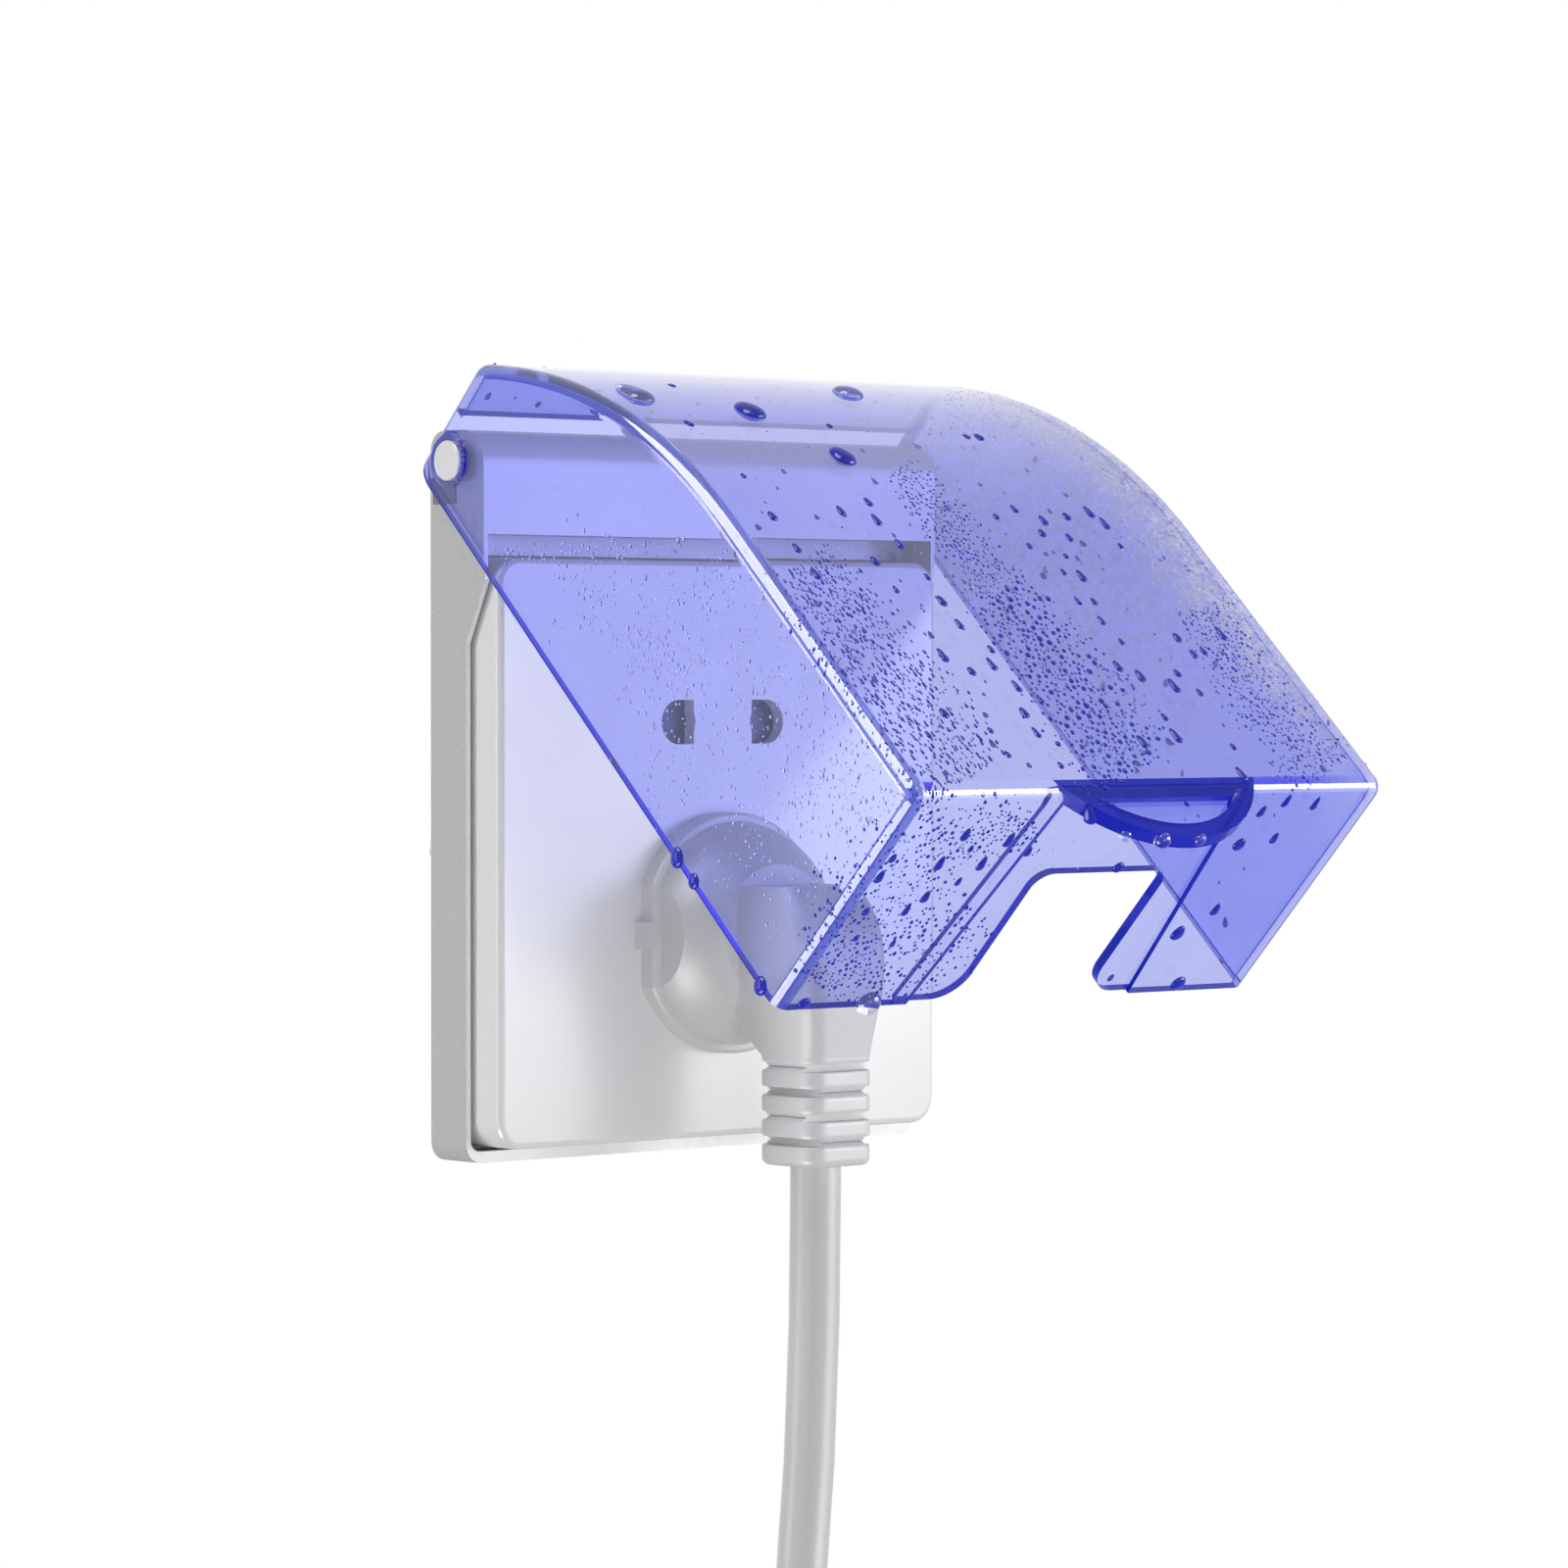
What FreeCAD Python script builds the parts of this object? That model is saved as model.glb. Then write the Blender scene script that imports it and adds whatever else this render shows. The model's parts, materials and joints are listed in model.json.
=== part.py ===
import FreeCAD, Part
import math
import os

# Waterproof socket box: a wall socket in a white base frame, under a clear blue lid
# that stands half open over a right-angle plug and its lead.
# Millimetres. The origin is on the wall, behind the middle of the socket panel.
# +X is to the right as one faces the wall, +Z is up, and the room lies towards -Y.
# "out" is the distance from the wall into the room, so y = -out.

os.makedirs("parts", exist_ok=True)
V = FreeCAD.Vector

# Socket panel
panel_size = 86.0
panel_corner = 4.0
panel_front = 14.5
panel_plate = 2.2
panel_skirt = 1.6
panel_edge_round = 1.0
panel_post_width = 5.0
panel_post_reach = 20.0
two_pin_height = 19.0
two_pin_inner = 5.7
two_pin_outer = 12.0
two_pin_tall = 6.6
pin_slot_clearance = 0.35

# Base frame
panel_gap = 0.5
pocket_corner = 1.6
lip_wall = 0.8
lip_bottom = 1.7
base_corner = 2.8
lip_front = 8.3
base_floor = 2.5
shadow_gap = 3.4
shadow_floor = 6.0
housing_height = 15.2
housing_front = 12.8
housing_round = 5.0
housing_back_round = 3.0
housing_wall = 2.0
housing_rib = 1.5
housing_pockets = 3
cheek_drop = 3.2
cheek_slope = 9.2
box_clearance = 1.5

# Seals
wall_seal_width = 3.2
wall_seal_depth = 1.5
wall_seal_inset = 1.4
wall_seal_inner_corner = 2.0
panel_seal = 1.0
panel_seal_width = 6.5

# Screws on the wall box, 60.3 apart
screw_spacing = 60.3
screw_radius = 2.0
screw_neck_radius = 1.75
screw_head_radius = 3.75
screw_head = 2.4
screw_reach = 16.0
screw_clearance = 0.3
screw_slot = 2.0
cross_width = 1.0
cross_depth = 1.4
cross_reach = 0.65
head_round = 0.33

# Mounting frame and socket mechanism
frame_plate = 2.0
mechanism_screw_room = 6.15
mechanism_head_room = 10.0
mechanism_wall = 1.6
mechanism_floor = 2.0
mechanism_back = 20.0
mechanism_flange = 1.5
flange_reach = 2.5
flange_width = 40.0
cover_plate = 2.0
small_clearance = 0.3
cover_screw_inset = 3.2
cover_screw_high = 9.0
cover_screw_radius = 1.2
cover_screw_head_radius = 2.2
cover_screw_head = 1.3
cover_screw_long = 9.0
cover_post_wall = 1.1

# Contacts and terminals
strip = 1.0
strip_width = 4.0
leaf = 0.7
leaf_width = 6.0
leaf_gap = 0.05
leaf_drop = 0.7
terminal_width = 7.0
terminal_tall = 8.0
terminal_deep = 8.0
terminal_screw_radius = 1.5
terminal_head_radius = 2.6
terminal_head = 1.6
terminal_offset = 1.9
wire_radius = 1.3

# Shutters
shutter = 1.6
shutter_lap = 0.6
shutter_bridge = 2.5
rail = 1.5
spring_radius = 0.8
spring_wire = 0.15
spring_turns = 6
spring_seat = 1.0

# Plug pins, 10 A pattern: two slanted blades below an upright earth blade
pin_centre = -12.5
pin_wide = 6.3
pin_thick = 1.6
pin_long = 18.0
earth_pin_extra = 2.8
line_pin_radius = 7.92
earth_pin_radius = 10.3
line_pin_turn = 120.0
pin_root = 5.5

# Plug
plug_radius = 18.0
plug_flat = 16.3
plug_rim = 3.0
plug_tier_step = 1.3
plug_dome_top = 27.0
plug_dome_radius = 10.5
plug_dome_bulge = 1.2
plug_dome_swell = 0.8
plug_edge_round = 0.6
plug_tab_tall = 4.0
plug_tab_proud = 1.2
bridge_radius = 13.0
bridge = 2.6
cord_out = 35.0
neck_front = 42.4
neck_back = 19.0
neck_top = -5.0
neck_top_half = 7.5
neck_top_front = 37.8
neck_shoulder = -14.0
neck_shoulder_half = 8.2
neck_waist = -24.0
neck_waist_half = 7.2
neck_waist_back = 23.0
relief_top = -30.0
relief_bottom = -46.0
relief_size = 13.0
relief_corner = 3.0
relief_core_wall = 0.3
relief_slots = 4
relief_slot = 1.3
relief_round = 1.2
relief_first = 1.4
relief_pitch = 3.65

# Cord and its coil
cord_diameter = 7.5
cord_bend_high = -120.0
cord_bend_low = -170.0
bend_share = 0.45
coil_turns = 5
coil_lay = 0.1
coil_section_corner = 3.4
coil_middle_radius = 41.25
coil_centre = -215.0
tail_end = -247.0
tie_wide = 12.0
tie_thick = 1.2

# Connector on the cord's far end
connector_relief = 17.0
connector_relief_radius = 6.5
connector_relief_tip = 4.75
connector_wide = 27.0
connector_deep = 20.0
connector_grip = 24.0
connector_nose = 15.0
connector_nose_wide = 23.4
connector_nose_deep = 15.6
connector_chamfer = 4.5
connector_slot_wide = 2.6
connector_slot_tall = 5.2
connector_slot_deep = 12.0
connector_slot_pitch = 7.0
connector_slot_drop = 2.0

# Lid, drawn shut and then opened to where the photograph shows it
lid_wall = 1.5
lid_clearance = 0.3
lid_depth = 41.4
lid_height = 110.2
lid_flat = 20.0
lid_front_start = 56.8
lid_edge_round = 2.4
lid_top_start = 11.4
lid_back_round = 4.5
lid_open = 46.15
hinge_out = 6.9
hinge_drop = 4.5
hinge_from_rim = 6.2
hinge_from_top = 5.6
notch_half = 12.8
notch_shift = 0.9
notch_deep = 24.7
notch_corner = 3.0
notch_mouth = 5.0
recess_front_half = 17.5
recess_rim_half = 21.8
recess_step = 0.7
tab_half = 18.0
tab_drop = 9.0
tab_thick = 2.2
tab_rim = 2.6
tab_pocket = 0.9

# Hinge pins
hinge_pin_radius = 2.0
hinge_running = 0.05
hinge_head_radius = 2.95
hinge_head = 1.1
hinge_head_proud = 0.3
hinge_head_play = 0.15
hinge_boss_radius = 3.9
hinge_boss = 0.5
hinge_pin_reach = 12.0

# Rubber pads that hold the lid by friction
friction_pad_deep = 1.5
friction_pad_proud = 0.2
friction_pad_back = 0.8
friction_pad_front = 6.4
friction_pad_drop = 2.4
friction_pad_tall = 3.8

# Worked-out places
panel_half = panel_size / 2
pocket_half = panel_half + panel_gap
base_half = pocket_half + lip_wall
base_bottom = -(pocket_half + lip_bottom)
housing_bottom = panel_half + shadow_gap
housing_top = housing_bottom + housing_height
hinge_z = housing_top - hinge_drop
seal_top = base_floor + panel_seal
frame_top = seal_top + frame_plate
panel_back = panel_front - panel_plate
shutter_front = panel_back - small_clearance
shutter_back = shutter_front - shutter
cover_front = shutter_back - small_clearance
cover_back = cover_front - cover_plate
mechanism_half = screw_spacing / 2 - mechanism_screw_room
terminal_reach = mechanism_half - mechanism_wall - small_clearance - terminal_width / 2
mechanism_high = two_pin_height + mechanism_head_room
strip_back = mechanism_floor - mechanism_back
strip_front = strip_back + strip
lid_inner = base_half + lid_clearance
lid_half = lid_inner + lid_wall
far = 200.0
past = 5.0


def box(x0, x1, out0, out1, z0, z1):
    """Block between two X, two distances out from the wall and two heights."""
    return Part.makeBox(x1 - x0, out1 - out0, z1 - z0, V(x0, -out1, z0))


def plate(half_x, z0, z1, out0, out1, radius):
    """Upright plate, rounded at its four corners."""
    block = box(-half_x, half_x, out0, out1, z0, z1)
    corners = [e for e in block.Edges if abs(e.tangentAt(e.FirstParameter).y) > 0.99]
    return block.makeFillet(radius, corners)


def peg(x, z, radius, out0, out1):
    """Cylinder square to the wall."""
    return Part.makeCylinder(radius, out1 - out0, V(x, -out1, z), V(0, 1, 0))


def axle(x0, x1, out, z, radius):
    """Cylinder along X."""
    return Part.makeCylinder(radius, x1 - x0, V(x0, -out, z), V(1, 0, 0))


def joined(shapes):
    """One solid from pieces that touch."""
    first, rest = shapes[0], shapes[1:]
    return first.multiFuse(rest).removeSplitter() if rest else first


def cut(shape, tools):
    """The shape less all of the tools."""
    for tool in tools:
        shape = shape.cut(tool)
    return shape


def both(make):
    """A piece on the left and the same piece on the right."""
    return [make(-1), make(1)]


def save(name, shape):
    """Writes one node, with its solids only."""
    solids = shape.Solids
    whole = solids[0] if len(solids) == 1 else Part.makeCompound(solids)
    if not whole.isValid():
        print("not valid:", name)
    whole.exportStep("parts/" + name + ".step")


# Base frame and its seals


def base_profile():
    """Side outline of the base frame, as a face at its left side."""
    slope_top = panel_half - cheek_drop
    outline = [
        (0, base_bottom),
        (lip_front, base_bottom),
        (lip_front, slope_top - cheek_slope),
        (housing_front, slope_top),
        (housing_front, housing_top),
        (0, housing_top),
    ]
    points = [V(-base_half, -out, z) for out, z in outline]
    return Part.Face(Part.makePolygon(points + points[:1]))


def along_x(edge):
    return abs(edge.tangentAt(edge.FirstParameter).x) > 0.99


def base_frame():
    body = base_profile().extrude(V(2 * base_half, 0, 0))
    top = [e for e in body.Edges if along_x(e) and abs(e.BoundBox.ZMax - housing_top) < 0.01]
    front = [e for e in top if e.BoundBox.YMax < -housing_front / 2]
    body = body.makeFillet(housing_round, front)
    back = [e for e in body.Edges if along_x(e) and e.BoundBox.YMax > -0.01 and e.BoundBox.ZMin > 0]
    body = body.makeFillet(housing_back_round, back)
    low = [
        e
        for e in body.Edges
        if e.BoundBox.ZMax < base_bottom + 0.01 and abs(e.tangentAt(e.FirstParameter).y) > 0.99
    ]
    body = body.makeFillet(base_corner, low)
    pocket = plate(pocket_half, -pocket_half, pocket_half, base_floor, far, pocket_corner)
    below = pocket_half - 2 * panel_corner
    shadow = box(-pocket_half, pocket_half, shadow_floor, far, below, housing_bottom)
    opening = box(
        -mechanism_half - box_clearance,
        mechanism_half + box_clearance,
        -1,
        base_floor + 1,
        -mechanism_high - box_clearance,
        mechanism_high + box_clearance,
    )
    holes = both(lambda s: peg(s * screw_spacing / 2, 0, screw_radius + screw_clearance, -1, far))
    bores = [axle(-base_half - 1, -base_half + hinge_pin_reach, hinge_out, hinge_z, hinge_pin_radius)]
    bores.append(axle(base_half - hinge_pin_reach, base_half + 1, hinge_out, hinge_z, hinge_pin_radius))
    tools = [pocket, shadow, opening, wall_seal_solid()] + holes + bores + housing_hollows()
    tools += both(friction_pad)
    return cut(body, tools)


def housing_hollows():
    """Pockets that lighten the hinge housing from behind, with ribs between them."""
    span = 2 * (base_half - hinge_pin_reach - housing_wall)
    width = (span - (housing_pockets - 1) * housing_rib) / housing_pockets
    low = housing_bottom + housing_wall
    high = housing_top - housing_wall
    deep = housing_front - housing_wall
    made = []
    for i in range(housing_pockets):
        left = -span / 2 + i * (width + housing_rib)
        hollow = box(left, left + width, -1, deep, low, high)
        made.append(hollow)
    return made


def friction_pad(side):
    """Rubber pad let into the end of the hinge housing, just proud of it."""
    ends = sorted((side * (base_half - friction_pad_deep), side * (base_half + friction_pad_proud)))
    top = hinge_z - friction_pad_drop
    low = top - friction_pad_tall
    return box(ends[0], ends[1], friction_pad_back, friction_pad_front, low, top)


def wall_seal_solid():
    """Foam seal let into the back of the base frame, flush with the wall."""
    outer = base_half - wall_seal_inset
    low = base_bottom + wall_seal_inset
    high = housing_bottom
    ring = plate(outer, low, high, 0, wall_seal_depth, panel_corner)
    inner = outer - wall_seal_width
    inner_low = low + wall_seal_width
    inner_high = high - wall_seal_width
    hole = plate(inner, inner_low, inner_high, -1, wall_seal_depth + 1, wall_seal_inner_corner)
    return ring.cut(hole)


def panel_seal_solid():
    """Flat rubber ring that the panel's skirt and the mounting frame press on."""
    ring = plate(panel_half, -panel_half, panel_half, base_floor, seal_top, panel_corner)
    inner = panel_half - panel_seal_width
    return ring.cut(box(-inner, inner, 0, far, -inner, inner))


# Panel


def round_pin_hole(side, grow, out0, out1):
    """Hole for a flat or a round pin: straight on its inner side, round on its outer side."""
    radius = two_pin_tall / 2 + grow
    middle = two_pin_outer - two_pin_tall / 2
    ends = sorted((side * (two_pin_inner - grow), side * middle))
    straight = box(ends[0], ends[1], out0, out1, two_pin_height - radius, two_pin_height + radius)
    return joined([straight, peg(side * middle, two_pin_height, radius, out0, out1)])


def blade(name, grow, out0, out1):
    """Straight blade at the place and slant of one plug pin."""
    turns = {"earth": 0.0, "neutral": -line_pin_turn, "live": line_pin_turn}
    radius = earth_pin_radius if name == "earth" else line_pin_radius
    turn = turns[name]
    wide = pin_wide if name == "earth" else pin_thick
    thick = pin_thick if name == "earth" else pin_wide
    bar = box(
        -thick / 2 - grow,
        thick / 2 + grow,
        out0,
        out1,
        pin_centre + radius - wide / 2 - grow,
        pin_centre + radius + wide / 2 + grow,
    )
    bar.rotate(V(0, 0, pin_centre), V(0, 1, 0), turn)
    return bar


PINS = ("live", "neutral", "earth")


def socket_panel():
    body = plate(panel_half, -panel_half, panel_half, seal_top, panel_front, panel_corner)
    rim = [e for e in body.Edges if e.BoundBox.YMax < -panel_front + 0.01]
    body = body.makeFillet(panel_edge_round, rim)
    inner = panel_half - panel_skirt
    body = body.cut(plate(inner, -inner, inner, 0, panel_back, panel_corner - panel_skirt))
    holes = both(lambda s: round_pin_hole(s, 0, 0, far))
    holes += [blade(name, pin_slot_clearance, 0, far) for name in PINS]
    body = cut(body, holes)
    posts = []
    for x in (-1, 1):
        for z in (-1, 1):
            middle = x * (inner - panel_post_width)
            high = z * panel_post_reach
            half = panel_post_width / 2
            posts.append(box(middle - half, middle + half, frame_top, panel_back, high - half, high + half))
    return joined([body] + posts)


# Mounting frame, mechanism and screws


def mounting_frame():
    half = panel_half - panel_skirt - small_clearance
    body = plate(half, -half, half, seal_top, frame_top, panel_corner - panel_skirt)
    x = mechanism_half + small_clearance
    z = mechanism_high + small_clearance
    body = body.cut(box(-x, x, 0, far, -z, z))
    radius = screw_radius + screw_clearance
    slots = []
    for side in (-1, 1):
        middle = side * screw_spacing / 2
        slots.append(box(middle - radius, middle + radius, 0, far, -screw_slot, screw_slot))
        slots += [peg(middle, -screw_slot, radius, 0, far), peg(middle, screw_slot, radius, 0, far)]
    return cut(body, slots)


def cross_headed(x, z, radius, head_radius, head, seat, reach, width, depth):
    """Screw square to the wall: its head stands on a seat and its shank runs back from there."""
    top = peg(x, z, head_radius, seat, seat + head)
    rim = [e for e in top.Edges if e.BoundBox.YMax < -(seat + head) + 0.01]
    top = top.makeFillet(head * head_round, rim)
    body = joined([top, peg(x, z, radius, seat - reach, seat)])
    slot = head_radius * cross_reach
    low = seat + head - depth
    bars = [
        box(x - slot, x + slot, low, far, z - width / 2, z + width / 2),
        box(x - width / 2, x + width / 2, low, far, z - slot, z + slot),
    ]
    return cut(body, bars)


def mounting_screw(side):
    """Screw into the wall box, thinner under its head than where its thread stands out at the back."""
    x = side * screw_spacing / 2
    screw = cross_headed(
        x,
        0,
        screw_radius,
        screw_head_radius,
        screw_head,
        frame_top,
        frame_top + screw_reach,
        cross_width,
        cross_depth,
    )
    neck = peg(x, 0, screw_neck_radius, 0, frame_top)
    return screw.cut(peg(x, 0, screw_radius + past, 0, frame_top).cut(neck))


def cover_screw_places():
    x = mechanism_half - cover_screw_inset
    low = cover_screw_inset - mechanism_high
    return [(-x, low), (x, low), (-x, cover_screw_high), (x, cover_screw_high)]


def cover_screws():
    made = []
    for x, z in cover_screw_places():
        made.append(
            cross_headed(
                x,
                z,
                cover_screw_radius,
                cover_screw_head_radius,
                cover_screw_head,
                cover_front,
                cover_screw_long,
                cross_width / 2,
                cross_depth / 2,
            )
        )
    return Part.makeCompound(made)


def terminal_places():
    return {
        "live": (terminal_reach, 0.0),
        "neutral": (-terminal_reach, 0.0),
        "earth": (0.0, terminal_tall / 2 + mechanism_wall + small_clearance - mechanism_high),
    }


def mechanism_housing():
    """Moulded tray that holds the contacts in the wall box."""
    body = box(
        -mechanism_half, mechanism_half, -mechanism_back, cover_back, -mechanism_high, mechanism_high
    )
    x = mechanism_half - mechanism_wall
    z = mechanism_high - mechanism_wall
    body = body.cut(box(-x, x, strip_back, far, -z, z))
    flange = box(
        -flange_width / 2,
        flange_width / 2,
        frame_top,
        frame_top + mechanism_flange,
        -mechanism_high - flange_reach,
        mechanism_high + flange_reach,
    )
    hole = box(-x, x, 0, far, -z, z)
    parts = [body, flange.cut(hole)]
    for px, pz in cover_screw_places():
        parts.append(peg(px, pz, cover_screw_radius + cover_post_wall, strip_back, cover_back))
    body = joined(parts)
    tools = [peg(px, pz, cover_screw_radius, 0, far) for px, pz in cover_screw_places()]
    for px, pz in terminal_places().values():
        tools.append(peg(px, pz + terminal_offset, terminal_screw_radius + screw_clearance, -far, 0))
        tools.append(peg(px, pz - terminal_offset, wire_radius, -far, 0))
    return cut(body, tools)


def contact_cover():
    """Insulating plate over the contacts, with the rails that guide the shutters."""
    parts = [box(-mechanism_half, mechanism_half, cover_back, cover_front, -mechanism_high, mechanism_high)]
    for low, high in rail_heights():
        parts.append(box(-mechanism_half + rail, mechanism_half - rail, cover_front, panel_back, low, high))
    seat = two_pin_spring_seat()
    middle = spring_height()
    parts.append(
        box(seat, seat + spring_seat, cover_front, shutter_front, middle - rail, middle + rail)
    )
    low = three_pin_spring_foot()
    parts.append(box(-rail / 2, rail / 2, cover_front, shutter_front, low - spring_seat, low))
    body = joined(parts)
    tools = both(lambda s: round_pin_hole(s, pin_slot_clearance, 0, far))
    tools += [blade(name, pin_slot_clearance, 0, far) for name in PINS]
    tools += [peg(x, z, cover_screw_radius, 0, far) for x, z in cover_screw_places()]
    return cut(body, tools)


# Contacts


def leaves(name_or_side):
    """Two springy leaves that grip a pin, one on each of its flat sides."""
    out0, out1 = strip_front, cover_back - leaf_drop
    near = pin_thick / 2 + leaf_gap
    if name_or_side in PINS:
        radius = earth_pin_radius if name_or_side == "earth" else line_pin_radius
        turn = {"earth": 0.0, "neutral": -line_pin_turn, "live": line_pin_turn}[name_or_side]
        made = []
        for side in (-1, 1):
            a, b = sorted((side * near, side * (near + leaf)))
            middle = pin_centre + radius
            if name_or_side == "earth":
                bar = box(a, b, out0, out1, middle - leaf_width / 2, middle + leaf_width / 2)
            else:
                bar = box(-leaf_width / 2, leaf_width / 2, out0, out1, middle + a, middle + b)
            bar.rotate(V(0, 0, pin_centre), V(0, 1, 0), turn)
            made.append(bar)
        return made
    middle = name_or_side * (two_pin_inner + two_pin_outer) / 2
    made = []
    for side in (-1, 1):
        a, b = sorted((side * near, side * (near + leaf)))
        low = two_pin_height - leaf_width / 2
        made.append(box(middle + a, middle + b, out0, out1, low, low + leaf_width))
    return made


def line_contact(name):
    """Brass strip with a grip for the three-pin side and one for the two-pin side."""
    side = 1 if name == "live" else -1
    x = line_pin_radius * math.sin(math.radians(line_pin_turn))
    z = pin_centre + line_pin_radius * math.cos(math.radians(line_pin_turn))
    outer = terminal_reach - terminal_width / 2
    inner = outer - strip_width
    reach = leaf_width / 2

    def bar(x0, x1, z0, z1):
        ends = sorted((side * x0, side * x1))
        return box(ends[0], ends[1], strip_back, strip_front, z0, z1)

    first = x - reach / 2 - leaf
    second = (two_pin_inner + two_pin_outer) / 2 - reach / 2 - leaf
    parts = [
        bar(first, outer, z - reach, z + reach),
        bar(inner, outer, z - reach, two_pin_height + reach),
        bar(second, outer, two_pin_height - reach, two_pin_height + reach),
        bar(inner, terminal_reach + terminal_width / 2, -terminal_tall / 2, terminal_tall / 2),
    ]
    body = joined(parts + leaves(name) + leaves(side))
    return cut(body, terminal_holes(name))


def earth_contact():
    x, z = terminal_places()["earth"]
    middle = pin_centre + earth_pin_radius
    half = strip_width / 2
    parts = [
        box(-half, half, strip_back, strip_front, z, middle + leaf_width / 2),
        box(-terminal_width / 2, terminal_width / 2, strip_back, strip_front,
            z - terminal_tall / 2, z + terminal_tall / 2),
    ]
    return cut(joined(parts + leaves("earth")), terminal_holes("earth"))


def terminal_holes(name):
    x, z = terminal_places()[name]
    return [
        peg(x, z + terminal_offset, terminal_screw_radius, -far, 0),
        peg(x, z - terminal_offset, wire_radius, -far, 0),
    ]


def terminal_clamps():
    made = []
    for name, (x, z) in terminal_places().items():
        half = terminal_width / 2
        block = box(
            x - half,
            x + half,
            strip_front,
            strip_front + terminal_deep,
            z - terminal_tall / 2,
            z + terminal_tall / 2,
        )
        made.append(cut(block, terminal_holes(name)))
    return Part.makeCompound(made)


def terminal_screws():
    """Screws that pinch the house wires, reached from behind."""
    made = []
    for x, z in terminal_places().values():
        z += terminal_offset
        back = -mechanism_back
        shank = peg(x, z, terminal_screw_radius, back, strip_front + terminal_deep / 2)
        head = peg(x, z, terminal_head_radius, back - terminal_head, back)
        slot = box(
            x - terminal_head_radius,
            x + terminal_head_radius,
            back - terminal_head,
            back - terminal_head / 2,
            z - cross_width / 2,
            z + cross_width / 2,
        )
        made.append(joined([shank, head]).cut(slot))
    return Part.makeCompound(made)


# Shutters and their springs


def pad_high():
    return two_pin_height + two_pin_tall / 2 + shutter_lap


def spring_height():
    return pad_high() + shutter_bridge / 2


def two_pin_spring_seat():
    return mechanism_half - 2 * spring_seat


def rail_heights():
    """Low and high edge of each rail."""
    low = two_pin_height - two_pin_tall / 2 - shutter_lap - small_clearance
    high = pad_high() + shutter_bridge + small_clearance
    return [(low - rail, low), (high, mechanism_high)]


def two_pin_shutter():
    """Slider that shuts both two-pin holes until the pins push it aside."""
    a = two_pin_inner - shutter_lap
    b = two_pin_outer + shutter_lap
    low = two_pin_height - two_pin_tall / 2 - shutter_lap
    parts = [
        box(-b, -a, shutter_back, shutter_front, low, pad_high()),
        box(a, b, shutter_back, shutter_front, low, pad_high()),
        box(-b, b, shutter_back, shutter_front, pad_high(), pad_high() + shutter_bridge),
    ]
    return joined(parts)


def coil_spring(length, turns):
    """Wire spring that stands on the origin along +Z."""
    pitch = length / turns
    helix = Part.makeHelix(pitch, length, spring_radius)
    along = V(0, 2 * math.pi * spring_radius, pitch)
    ring = Part.Wire(Part.makeCircle(spring_wire, V(spring_radius, 0, 0), along))
    spring = Part.Wire(helix).makePipeShell([ring], True, True)
    return spring


def two_pin_shutter_spring():
    start = two_pin_outer + shutter_lap + spring_wire
    length = two_pin_spring_seat() - start - spring_wire
    spring = coil_spring(length, spring_turns)
    spring.rotate(V(0, 0, 0), V(0, 1, 0), 90)
    spring.translate(V(start, -(shutter_front + shutter_back) / 2, spring_height()))
    return spring


def line_pin_low():
    """Lowest edge of the slots for the two slanted pins."""
    drop = line_pin_radius * math.cos(math.radians(line_pin_turn))
    slant = math.radians(180 - line_pin_turn)
    half = (pin_wide / 2) * math.sin(slant) + (pin_thick / 2) * math.cos(slant)
    return pin_centre + drop - half - pin_slot_clearance


def three_pin_spring_foot():
    return spring_seat + small_clearance + rail - mechanism_high


def three_pin_shutter():
    """Slider of the three-pin holes, pushed down and held open by the plug's pins."""
    top = line_pin_low() - small_clearance
    foot = small_clearance - mechanism_high
    half = line_pin_radius + pin_wide / 2
    body = box(-half, half, shutter_back, shutter_front, foot, top)
    window = box(
        -rail / 2 - small_clearance,
        rail / 2 + small_clearance,
        0,
        far,
        foot + small_clearance,
        top - rail,
    )
    return body.cut(window)


def three_pin_shutter_spring():
    start = three_pin_spring_foot() + spring_wire
    length = line_pin_low() - small_clearance - rail - spring_wire - start
    spring = coil_spring(length, spring_turns)
    spring.translate(V(0, -(shutter_front + shutter_back) / 2, start))
    return spring


# Plug


def plug_pin(name):
    extra = earth_pin_extra if name == "earth" else 0.0
    return blade(name, 0, panel_front - pin_long - extra, panel_front + pin_root)


def rounded_outline(half_x, out0, out1, z, radius):
    """Flat rounded rectangle at one height, as a wire."""
    block = Part.makeBox(2 * half_x, out1 - out0, 1, V(-half_x, -out1, z))
    corners = [e for e in block.Edges if abs(e.tangentAt(e.FirstParameter).z) > 0.99]
    block = block.makeFillet(radius, corners)
    for face in block.Faces:
        if face.BoundBox.ZMax < z + 0.01:
            return face.OuterWire


def plug_neck():
    """Right-angle neck, lofted down to the strain relief."""
    half = relief_size / 2
    back = cord_out - half
    sections = [
        (neck_top_half, neck_back, neck_top_front, neck_top),
        (neck_shoulder_half, neck_back, neck_front, neck_shoulder),
        (neck_waist_half, neck_waist_back, neck_front, neck_waist),
        (half, back, cord_out + half, relief_top),
    ]
    wires = [rounded_outline(x, a, b, z, relief_corner) for x, a, b, z in sections]
    return Part.makeLoft(wires, True, False)


def relief_ring(high, low):
    """One rounded square ring of the strain relief; the first joins the neck above it."""
    half = relief_size / 2
    outline = rounded_outline(half, cord_out - half, cord_out + half, low, relief_corner)
    ring = Part.Face(outline).extrude(V(0, 0, high - low))
    ends = [e for e in ring.Edges if e.BoundBox.ZMax < low + 0.01]
    if high < relief_top:
        ends += [e for e in ring.Edges if e.BoundBox.ZMin > high - 0.01]
    return ring.makeFillet(relief_round, ends)


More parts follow.
